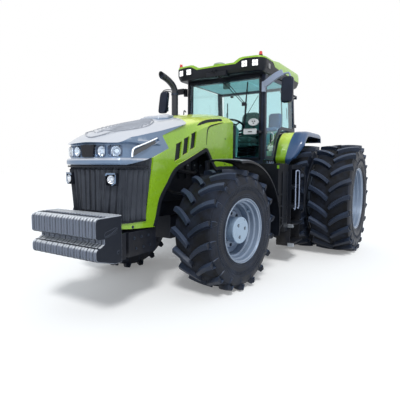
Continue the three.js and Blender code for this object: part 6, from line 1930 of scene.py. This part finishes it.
class TRACTOR_OT_rear_fenders(MakerOperator, bpy.types.Operator):
    """Makes the rear fenders: painted inner sheet, broad moulded outer sheet and rear lamps"""

    bl_idname = "tractor.rear_fenders"
    bl_label = "Rear Fenders"

    def execute(self, context):
        line = [(p.x, 1.6 + (p.y - 1.6) * 1.012) for p in smooth_path([(y, z, 0) for y, z in FENDER_LINE], 5)]
        for side_name, side in SIDES:
            inner, outer = Shape(), Shape()
            inner_rings, outer_rings, web_rings = [], [], []
            for i, (y, z) in enumerate(line):
                a, b = Vector(line[max(i - 1, 0)]), Vector(line[min(i + 1, len(line) - 1)])
                along = (b - a).normalized()
                out = Vector((-along.y, along.x))
                reach = min(1.262, 1.01 + 0.255 * max((z - 1.60) / 0.40, 0.0) ** 0.75) if y < -0.5 else 1.262
                split = 0.965 + 0.055 * min(max((z - 1.6) / 0.5, 0.0), 1.0)

                def place(x, lift):
                    return at(x, y + out.x * lift, z + out.y * lift)

                inner_rings.append([place(x, lift) for x, lift in (
                    (0.795, -0.022), (0.795, -0.010), (0.81, -0.002), (split + 0.01, 0.0), (split + 0.01, -0.020))])
                web_rings.append([place(x, lift) for x, lift in (
                    (0.752, -0.024), (0.752, -0.012), (0.800, -0.012), (0.800, -0.024))])
                wide = reach - split
                outer_rings.append([place(split + wide * t, lift) for t, lift in (
                    (0.0, -0.024), (0.0, 0.003), (0.05, 0.009), (0.15, 0.011), (0.70,
                                                                                0.009), (0.88, -0.002), (0.96, -0.024),
                    (1.0, -0.06), (0.995, -0.085), (0.97, -0.085), (0.94, -0.045), (0.86, -0.026))])
            inner.rings(inner_rings)
            outer.rings(outer_rings)
            piece(f"rear_fender_{side_name}_inner", inner.on(side), ("lime_enamel",), "chassis", "lime_paint",
                  bevel=0.003)
            piece(f"rear_fender_{side_name}_outer", outer.on(side), ("fender_grey",), "chassis", "black_plastic",
                  bevel=0.004,
                  angle=38, stands_for=(f"rear_fender_{side_name}",))
            made = Shape().rings(web_rings)
            made.box(at(0.80, 0.20, 2.07), at(1.20, 0.264, 2.16), 0)
            for x0, x1, slot in ((0.81, 0.93, 2), (0.94, 1.06, 1), (1.07, 1.19, 1)):
                made.prism("y", rounded(x0, x1, 2.08, 2.15, 0.012), from_axle(0.264), from_axle(0.272), slot)
            made.prism("x", [(from_axle(y), z) for y, z in ((-0.60, 2.21), (-0.56, 2.222), (-0.24, 2.222),
                                                            (-0.20, 2.21))], 0.765, 0.86)
            piece(f"rear_fender_{side_name}_fittings", made.on(side), ("satin_black", "tail_red", "amber"), "chassis",
                  "black_plastic", bevel=0.003)
        return {"FINISHED"}


class TRACTOR_OT_tanks(MakerOperator, bpy.types.Operator):
    """Makes the ribbed fuel tanks, the filler caps, the cab ladder and its handrails"""

    bl_idname = "tractor.tanks"
    bl_label = "Tanks and Steps"

    def execute(self, context):
        for side_name, side in SIDES:
            eased(f"fuel_tank_{side_name}", ("tank_black",), "chassis", "black_plastic", bevel=0.028, angle=35,
                  name=f"fuel_tank_{side_name}_moulded")
            extra = Shape()
            for z in (0.80, 0.98, 1.16):
                extra.strip([at(1.00, -1.951, z), at(1.21, -1.951, z), at(1.243, -1.925, z), at(1.252, -1.88, z),
                             at(1.252, -1.68, z)], 0.030, 0.012, (0, 0, 1))
            extra.prism("z", frame_plan(rounded(0.70, 1.235, -1.935, -1.665, 0.05)), 1.612, 1.632)
            extra.lathe([(0, 0.060), (0.03, 0.060), (0.036, 0.055), (0.07, 0.05), (0.086, 0.036), (0.09, 0.0)],
                        at(0.99, -1.80, 1.60), (0, 0, 1), 32, 1)
            for turn in circle(10):  # the grips round the filler cap
                x, y = 0.99 + 0.053 * math.cos(turn), -1.80 + 0.053 * math.sin(turn)
                extra.box(at(x - 0.006, y - 0.006, 1.632), at(x + 0.006, y + 0.006, 1.664), 1)
            extra.box(at(1.17, -1.957, 1.555), at(1.205, -1.950, 1.605), 2)
            for y in (-1.9, -1.7):
                extra.strip([at(0.63, y, 0.555), at(0.9, y, 0.552), at(1.2, y, 0.60), at(1.254, y, 0.70),
                             at(1.254, y, 1.5)],
                            0.035, 0.008, (0, 1, 0), 3)
            piece(f"fuel_tank_{side_name}_fittings", extra.on(side),
                  ("tank_black", "nose_shadow", "lime_panel", "chassis_black"), "chassis", "black_plastic", bevel=0.003)
        eased("cab_steps", ("chassis_black",), "chassis", "black_steel", bevel=0.004, name="cab_steps_pressed")
        steps = Shape()
        for z, x0, x1 in ((0.345, 1.06, 1.345), (0.655, 1.09, 1.335), (0.96, 0.965, 1.335), (1.265, 0.965, 1.335)):
            for k in range(5):
                y = -1.585 + 0.095 * k
                steps.box(at(x0, y, z), at(x1, y + 0.055, z + 0.007))
                for n in range(7):
                    x = x0 + 0.025 + (x1 - x0 - 0.05) * n / 6
                    steps.box(at(x - 0.012, y + 0.018, z + 0.006), at(x + 0.012, y + 0.036, z + 0.012))
            steps.box(at(x0, -1.632, z - 0.04), at(x1, -1.624, z + 0.006))
            if z < 0.8:
                steps.box(at(x1 - 0.09, -1.637, z - 0.045), at(x1 + 0.004, -1.60, z + 0.012), 1)
        piece("step_treads", steps, ("chassis_black", "tread_plate"), "chassis", "steel", bevel=0.0015, segments=1)
        rail = Shape()
        rail.tube(smooth_path([at(1.335, -1.61, 0.92), at(1.362, -1.625, 0.95), at(1.362, -1.63, 1.45),
                               at(1.362, -1.60, 1.515),
                               at(1.362, -1.49, 1.515), at(1.362, -1.45, 1.45), at(1.362, -1.445, 0.95),
                               at(1.335, -1.445, 0.92)], 5), 0.009, 10)
        piece("step_handrail", rail, ("bracket_grey",), "chassis", "black_steel", angle=45)
        return {"FINISHED"}


class TRACTOR_OT_exhaust(MakerOperator, bpy.types.Operator):
    """Makes the exhaust: can with its guard and clamps, riser, and the swept-back slanted tip"""

    bl_idname = "tractor.exhaust"
    bl_label = "Exhaust"

    def execute(self, context):
        x, y = -0.80, -1.88
        made = Shape()
        made.lathe([(0, 0.094), (0.03, 0.094), (0.035, 0.06)], at(x, y, 1.616), (0, 0, 1), 32)
        made.lathe([(0, 0.07), (0.02, 0.088), (0.05, 0.09), (0.46, 0.09), (0.49, 0.086), (0.53, 0.062)],
                   at(x, y, 1.645),
                   (0, 0, 1), 40)
        for z in (1.72, 1.9, 2.08):
            made.lathe([(0, 0.0905), (0, 0.0945), (0.022, 0.0945), (0.022, 0.0905)], at(x, y, z), (0, 0, 1), 40, 1,
                       closed=True)
        for k in range(8):
            turn = math.pi * (0.9 + 1.2 * k / 7)
            for j in range(4):
                place = at(x + 0.0925 * math.cos(turn), y + 0.0925 * math.sin(turn), 1.76 + 0.085 * j)
                made.box(place - Vector((0.006, 0.006, 0.018)), place + Vector((0.006, 0.006, 0.018)), 1)
        path = smooth_path([at(x, y, 2.16), at(x, y, 2.5), at(x, y, 2.88), at(-0.803, -1.89, 2.945),
                            at(-0.812, -1.93, 3.01),
                            at(-0.835, -2.01, 3.075), at(-0.858, -2.085, 3.115), at(-0.874, -2.14, 3.138)], 5)
        outer = [0.058 if p.z < 2.9 else 0.055 for p in path]
        made.tube(path, outer, 28)
        tip = path[-1]
        along = (path[-1] - path[-3]).normalized()
        across = Vector((1, 0, 0))
        upward = across.cross(along).normalized()
        if upward.z < 0:
            upward = -upward
        rim = []
        for back, radius, slant in ((-0.05, 0.052, 0.0), (-0.03, 0.0575, 0.0), (0.0, 0.058, 1.0), (0.0, 0.052, 1.0),
                                    (-0.02, 0.05, 0.3)):
            rim.append([tip + along * (back - 0.02 + slant * 0.04 * (1 + math.sin(t)))
                        + (across * math.cos(t) + upward * math.sin(t)) * radius
                        for t in circle(28)])
        made.rings(rim)
        # A dark cap just inside the tip stands for the shaded inside of the pipe: painted shade.
        made.lathe([(0.006, 0.048), (0.008, 0.0)], tip, along, 28, 2)
        for z in (2.2, 2.84):
            made.lathe([(0, 0.058), (0, 0.065), (0.03, 0.065), (0.03, 0.058)], at(x, y, z), (0, 0, 1), 32, 1,
                       closed=True)
            made.bolt(at(x, y - 0.07, z + 0.015), (1, 0, 0), 0.008, 1)
        made.box(at(-0.80, -1.85, 2.42), at(-0.72, -1.83, 2.50))
        piece("exhaust_stack_rolled", made, ("stack_black", "dark_steel", "groove_rubber"), "chassis", "black_steel",
              angle=35, stands_for=("exhaust_stack",))
        return {"FINISHED"}


# ---------------------------------------------------------------- inside the cab
# Share of a cushion's half height, and how far its outline reaches there.
CUSHION_LEVELS = ((-1.0, 0.90), (-0.86, 0.97), (-0.5, 1.0), (0.35, 1.0), (0.75, 0.965), (1.0, 0.86))

CUSHION_PRESSURE, CUSHION_FRAMES = 4.0, 20


def crowned(half_x, half_y, half_z, corner):
    """A cushion blank lying flat at the origin, its top and bottom edges turned in."""
    rings = []
    for level, scale in CUSHION_LEVELS:
        rings.append([(x, y, level * half_z) for x, y in
                      rounded(-half_x * scale, half_x * scale, -half_y * scale, half_y * scale, corner, 6)])
    return Shape().rings(rings)


def upholster(name, shape, finish, body, stands_for=(), voxel=0.009, swell=0.014, pinches=()):
    """A padded piece blown out by a cloth simulation, then sewn along its pinch lines."""
    obj = loop_object(name, shape)
    remesher = obj.modifiers.new("even_mesh", "REMESH")
    remesher.mode = "VOXEL"
    remesher.voxel_size = voxel
    settle(obj)
    before = [v.co.copy() for v in obj.data.vertices]
    cloth = obj.modifiers.new("stuffing", "CLOTH")
    cloth.settings.use_pressure = True
    cloth.settings.uniform_pressure_force = CUSHION_PRESSURE
    cloth.settings.effector_weights.gravity = 0.0
    scene = bpy.context.scene
    for frame_number in range(1, CUSHION_FRAMES + 1):
        scene.frame_set(frame_number)
    settle(obj)
    scene.frame_set(1)
    for vertex, start in zip(obj.data.vertices, before):
        step = vertex.co - start
        if step.length > swell:
            vertex.co = start + step * (swell / step.length)
    for centre, along, depth, width in pinches:
        centre, along = Vector(centre), Vector(along).normalized()
        sideways = Vector((1, 0, 0)) if abs(along.x) < 0.5 else Vector((0, 1, 0.05)).normalized()
        for vertex in obj.data.vertices:
            off = vertex.co - centre
            gap = abs((off - along * off.dot(along)).dot(sideways))
            if vertex.normal.length and gap < width * 3:
                vertex.co -= vertex.normal * depth * math.exp(-(gap / width) ** 2)
    smoother = obj.modifiers.new("finer", "SUBSURF")
    smoother.levels = smoother.render_levels = 1
    settle(obj)
    dress(obj, (finish,), body, "seat_cloth", bevel=0, angle=70, stands_for=stands_for)
    return obj


class TRACTOR_OT_interior(MakerOperator, bpy.types.Operator):
    """Makes the dashboard, controls, steering wheel and the seat bases"""

    bl_idname = "tractor.interior"
    bl_label = "Interior"

    def execute(self, context):
        eased("dashboard", ("cab_trim",), "chassis", "cab_trim", bevel=0.018, name="dashboard_moulded")
        eased("seat_base", ("cab_dark",), "chassis", "cab_trim", bevel=0.012, name="seat_base_moulded")
        made = Shape()
        made.prism("x", [(from_axle(y), z) for y, z in ((-1.40, 2.26), (-1.25, 2.21), (-1.24, 2.225),
                                                        (-1.39, 2.276))], -0.12, 0.12, 1)
        for k in range(4):
            made.box(at(-0.135, -1.19, 1.75 + 0.1 * k), at(0.135, -1.112, 1.76 + 0.1 * k), 0)
        for x in (-0.09, -0.03, 0.05):
            made.box(at(x, -1.16, 1.53), at(x + 0.05, -1.03, 1.545), 0)
            made.tube([at(x + 0.025, -1.10, 1.54), at(x + 0.025, -1.17, 1.70)], 0.008, 8, 2)
        piece("dashboard_controls", made, ("cab_dark", "screen_off", "zinc"), "chassis", "cab_trim", bevel=0.003)
        side = Shape()
        # The right-hand console beside the seat: armrest screen, lever and switch rows.
        side.rings([[at(x, y, z) for x, y in rounded(-0.36, -0.25, -0.98, -0.44, 0.035)] for z in (2.262, 2.285, 2.30)])
        side.box(at(-0.40, -1.03, 2.36), at(-0.22, -1.01, 2.49), 1)
        side.tube([at(-0.31, -0.96, 2.28), at(-0.31, -1.01, 2.40)], 0.012, 8, 2)
        side.tube([at(-0.30, -0.86, 2.29), at(-0.30, -0.89, 2.37)], 0.013, 10, 2)
        side.lathe([(-0.035, 0.0), (-0.02, 0.02), (0.01, 0.024), (0.03, 0.012), (0.033, 0.0)],
                   at(-0.30, -0.895, 2.385), (0, -0.2, 1), 20, 2)
        for k in range(5):
            side.box(at(-0.345 + 0.035 * (k % 2), -0.80 + 0.04 * k, 2.298),
                     at(-0.322 + 0.035 * (k % 2), -0.775 + 0.04 * k, 2.308), 3)
        side.box(at(-0.73, -1.46, 2.232), at(-0.50, -0.45, 2.262), 0)
        piece("seat_console", side, ("cab_dark", "screen_off", "satin_black", "amber"), "chassis", "cab_trim",
              bevel=0.006)
        bellows = Shape()
        for k in range(5):
            z = 1.78 + 0.034 * k
            bellows.rings([[at(x, y, z + dz) for x, y in rounded(-g, g, -0.86 + 0.2 - g, -0.46 - 0.2 + g, 0.05)]
                           for g, dz in ((0.170, 0.0), (0.190, 0.015), (0.170, 0.030))])
        piece("seat_bellows", bellows, ("hose_rubber",), "chassis", "seat_cloth", angle=40)
        extras = Shape()
        for x in (-0.6, 0.6):
            extras.tube(smooth_path([at(x, -0.26, 2.24), at(x, -0.24, 2.5), at(x * 0.98, -0.27, 2.9)], 4), 0.012, 8)
        extras.rings([[at(x, y, z) for x, y in rounded(-0.06, 0.06, -1.45, -1.38, 0.02)]
                      for z in (2.95, 2.96, 3.04, 3.05)])
        piece("cab_inner_fittings", extras, ("cab_dark", "ceiling"), "chassis", "cab_trim", bevel=0.006)
        self.wheel()
        return {"FINISHED"}

    def wheel(self):
        """The steering wheel on its tilted axis."""
        axis = Vector((0, math.sin(math.radians(28)), math.cos(math.radians(28))))
        centre = at(0, -1.13, 2.33)
        made = Shape()
        across = Vector((1, 0, 0))
        up = axis.cross(across).normalized()
        ring = [centre + (across * math.cos(t) + up * math.sin(t)) * 0.198 for t in circle(56)]
        spokes = 3
        made.strip(ring + ring[:1], 0.026, 0.030, axis)
        for k in range(spokes):
            turn = math.pi / 2 + 2 * math.pi * k / spokes
            way = across * math.cos(turn) + up * math.sin(turn)
            made.strip([centre - axis * 0.012, centre + way * 0.10 - axis * 0.012, centre + way * 0.196], 0.032,
                       0.012, axis, 1)
        made.lathe([(-0.03, 0.03), (-0.02, 0.055), (0.008, 0.062), (0.022, 0.05), (0.026, 0.0)], centre, axis, 32, 0)
        made.lathe([(0.0, 0.011), (0.05, 0.011), (0.055, 0.018), (0.09, 0.022), (0.10, 0.014), (0.101, 0.0)],
                   centre + (across * 0.7 + up * 0.7) * 0.197, axis, 20, 0)
        piece("steering_wheel_rim", made, ("grained_black", "satin_black"), "steering_wheel", "black_plastic",
              bevel=0.003,
              angle=40, stands_for=("steering_wheel",))


class TRACTOR_OT_seats(MakerOperator, bpy.types.Operator):
    """Makes the padded seats"""

    bl_idname = "tractor.seats"
    bl_label = "Seats"

    def execute(self, context):
        place = Matrix.Translation(at(0, -0.655, 2.075)) @ Matrix.Rotation(math.radians(-3), 4, "X")
        upholster("operator_seat_cushion", crowned(0.225, 0.225, 0.050, 0.07).moved(place), "seat_weave", "chassis",
                  stands_for=("operator_seat",), pinches=((at(0.12, -0.65, 2.1), (0, 1, 0), 0.010, 0.008),
                                                         (at(-0.12, -0.65, 2.1), (0, 1, 0), 0.010, 0.008)))
        lean = Matrix.Translation(at(0, -0.375, 2.40)) @ Matrix.Rotation(math.radians(82), 4, "X")
        upholster("operator_seat_back", crowned(0.205, 0.275, 0.042, 0.12).moved(lean), "seat_weave", "chassis",
                  pinches=((at(0.10, -0.4, 2.45), (0, 0.1, 1), 0.009, 0.008),
                           (at(-0.10, -0.4, 2.45), (0, 0.1, 1), 0.009, 0.008)))
        low = Matrix.Translation(at(0.498, -0.52, 2.272))
        upholster("passenger_seat_cushion", crowned(0.150, 0.165, 0.030, 0.05).moved(low), "seat_side", "chassis",
                  stands_for=("passenger_seat",), swell=0.010)
        back = Matrix.Translation(at(0.498, -0.335, 2.455)) @ Matrix.Rotation(math.radians(86), 4, "X")
        upholster("passenger_seat_back", crowned(0.142, 0.165, 0.028, 0.07).moved(back), "seat_side", "chassis",
                  swell=0.010)
        shell = Shape()
        shell.rings([[lean @ Vector((x, y, z)) for x, y in rounded(-0.17 * s, 0.17 * s, -0.27 * s, 0.27 * s, 0.09)]
                     for z, s in ((-0.065, 0.9), (-0.055, 1.0), (-0.035, 1.0))])
        shell.rings([[at(px, py, z) for px, py in rounded(-0.20, 0.20, -0.86, -0.42, 0.06)]
                     for z in (1.985, 2.0, 2.025)])
        shell.tube(smooth_path([at(0.25, -0.40, 2.06), at(0.27, -0.38, 2.2), at(0.27, -0.42, 2.27)], 4), 0.014, 8)
        shell.rings([[at(px, py, z) for px, py in rounded(0.235, 0.305, -0.76, -0.40, 0.03)]
                     for z in (2.262, 2.275, 2.30, 2.31)])
        piece("operator_seat_shell", shell, ("cab_dark",), "chassis", "cab_trim", bevel=0.006)
        return {"FINISHED"}


# ---------------------------------------------------------------- rear linkage
class TRACTOR_OT_hitch(MakerOperator, bpy.types.Operator):
    """Makes the three-point linkage with its rods, hooks, pins and the couplers at the back"""

    bl_idname = "tractor.hitch"
    bl_label = "Rear Linkage"

    def execute(self, context):
        eased("lift_arms", ("cast_black",), "lift_arms", "cast_iron", bevel=0.008, name="lift_arms_forged")
        eased("top_link", ("chassis_black",), "chassis", "steel", bevel=0.004, name="top_link_turned")
        for side_name, side in SIDES:
            eased(f"lower_link_{side_name}", ("chassis_black",), f"lower_link_{side_name}", "steel", bevel=0.005,
                  name=f"lower_link_{side_name}_forged")
            eased(f"lift_rod_{side_name}", ("chassis_black",), f"lift_rod_{side_name}", "steel", bevel=0.003,
                  name=f"lift_rod_{side_name}_turned")
            link = Shape()
            link.lathe([(-0.030, 0.0), (-0.028, 0.030), (-0.02, 0.036), (0.02, 0.036), (0.028, 0.030), (0.030, 0.0)],
                       at(0.325, 0.33, 0.56), (1, 0, 0), 24)
            link.lathe([(0.0, 0.024), (0.006, 0.024), (0.012, 0.014), (0.014, 0.0)], at(0.355, 0.33, 0.56), (1, 0, 0),
                       6, 1)
            link.box(at(0.322, 0.80, 0.545), at(0.360, 0.84, 0.60), 1)
            piece(f"lower_link_{side_name}_ball", link.on(side), ("dark_steel", "zinc"), f"lower_link_{side_name}",
                  "steel",
                  bevel=0.003)
        made = Shape()
        made.rings([[at(x, 0.461 + dy, z) for x, z in rounded(-0.23, 0.23, 1.0, 1.14, 0.015)]
                    for dy in (0.0, 0.02, 0.045)])
        for k in range(8):
            x, z = -0.17 + 0.113 * (k % 4), 1.105 - 0.07 * (k // 4)
            made.lathe([(0.0, 0.021), (0.012, 0.021), (0.013, 0.017), (0.03, 0.017), (0.031, 0.013), (0.02, 0.012),
                        (0.02, 0.0)],
                       at(x, 0.506, z), (0, 1, 0), 20, 1 + (k % 2))
        for side in (1, -1):
            made.tube(smooth_path([at(0.12 * side, 0.44, 1.14), at(0.13 * side, 0.44, 1.30),
                                   at(0.14 * side, 0.40, 1.38),
                                   at(0.15 * side, 0.33, 1.44)], 5), 0.011, 8, 3)
        piece("rear_couplers", made, ("cast_black", "zinc", "tail_red", "hose_rubber"), "chassis", "cast_iron",
              bevel=0.003)
        stub = Shape().lathe([(0.0, 0.022), (0.095, 0.022), (0.10, 0.019), (0.10, 0.0)], at(0, 0.44, 0.76), (0, 1, 0),
                             24)
        for turn in circle(6):
            place = at(0.022 * math.cos(turn), 0.45, 0.76 + 0.022 * math.sin(turn))
            stub.box(place - Vector((0.005, 0.0, 0.005)), place + Vector((0.005, 0.08, 0.005)))
        piece("power_shaft_splines", stub, ("bright_steel",), "chassis", "steel", bevel=0.0015)
        return {"FINISHED"}


# ---------------------------------------------------------------- panel and run
MAKERS = (
    TRACTOR_OT_stage,
    TRACTOR_OT_front_wheels,
    TRACTOR_OT_rear_wheels,
    TRACTOR_OT_nose,
    TRACTOR_OT_hood,
    TRACTOR_OT_grille,
    TRACTOR_OT_weights,
    TRACTOR_OT_driveline,
    TRACTOR_OT_steering,
    TRACTOR_OT_roof,
    TRACTOR_OT_cab_frame,
    TRACTOR_OT_glass,
    TRACTOR_OT_mirrors,
    TRACTOR_OT_rear_fenders,
    TRACTOR_OT_tanks,
    TRACTOR_OT_exhaust,
    TRACTOR_OT_interior,
    TRACTOR_OT_seats,
    TRACTOR_OT_hitch,
)


class TRACTOR_PT_panel(bpy.types.Panel):
    """The tractor's colours, sizes and makers"""

    bl_label = "Farm Tractor"
    bl_idname = "TRACTOR_PT_panel"
    bl_space_type = "VIEW_3D"
    bl_region_type = "UI"
    bl_category = "Tractor"

    def draw(self, context):
        palette, sizes = context.scene.tractor_palette, context.scene.tractor_sizes
        for group in (palette, sizes):
            column = self.layout.column()
            for name in group.bl_rna.properties.keys():
                if name not in ("rna_type", "name"):
                    column.prop(group, name)
        for maker in MAKERS:
            self.layout.operator(maker.bl_idname)


CLASSES = (TractorPalette, TractorSizes, *MAKERS, TRACTOR_PT_panel)


def register():
    for cls in CLASSES:
        bpy.utils.register_class(cls)
    bpy.types.Scene.tractor_palette = bpy.props.PointerProperty(type=TractorPalette)
    bpy.types.Scene.tractor_sizes = bpy.props.PointerProperty(type=TractorSizes)


def unregister():
    del bpy.types.Scene.tractor_palette
    del bpy.types.Scene.tractor_sizes
    for cls in reversed(CLASSES):
        bpy.utils.unregister_class(cls)


def main():
    register()
    make_finishes()
    for maker in MAKERS:
        getattr(bpy.ops.tractor, maker.bl_idname.split(".")[1])()


if __name__ == "__main__":
    main()
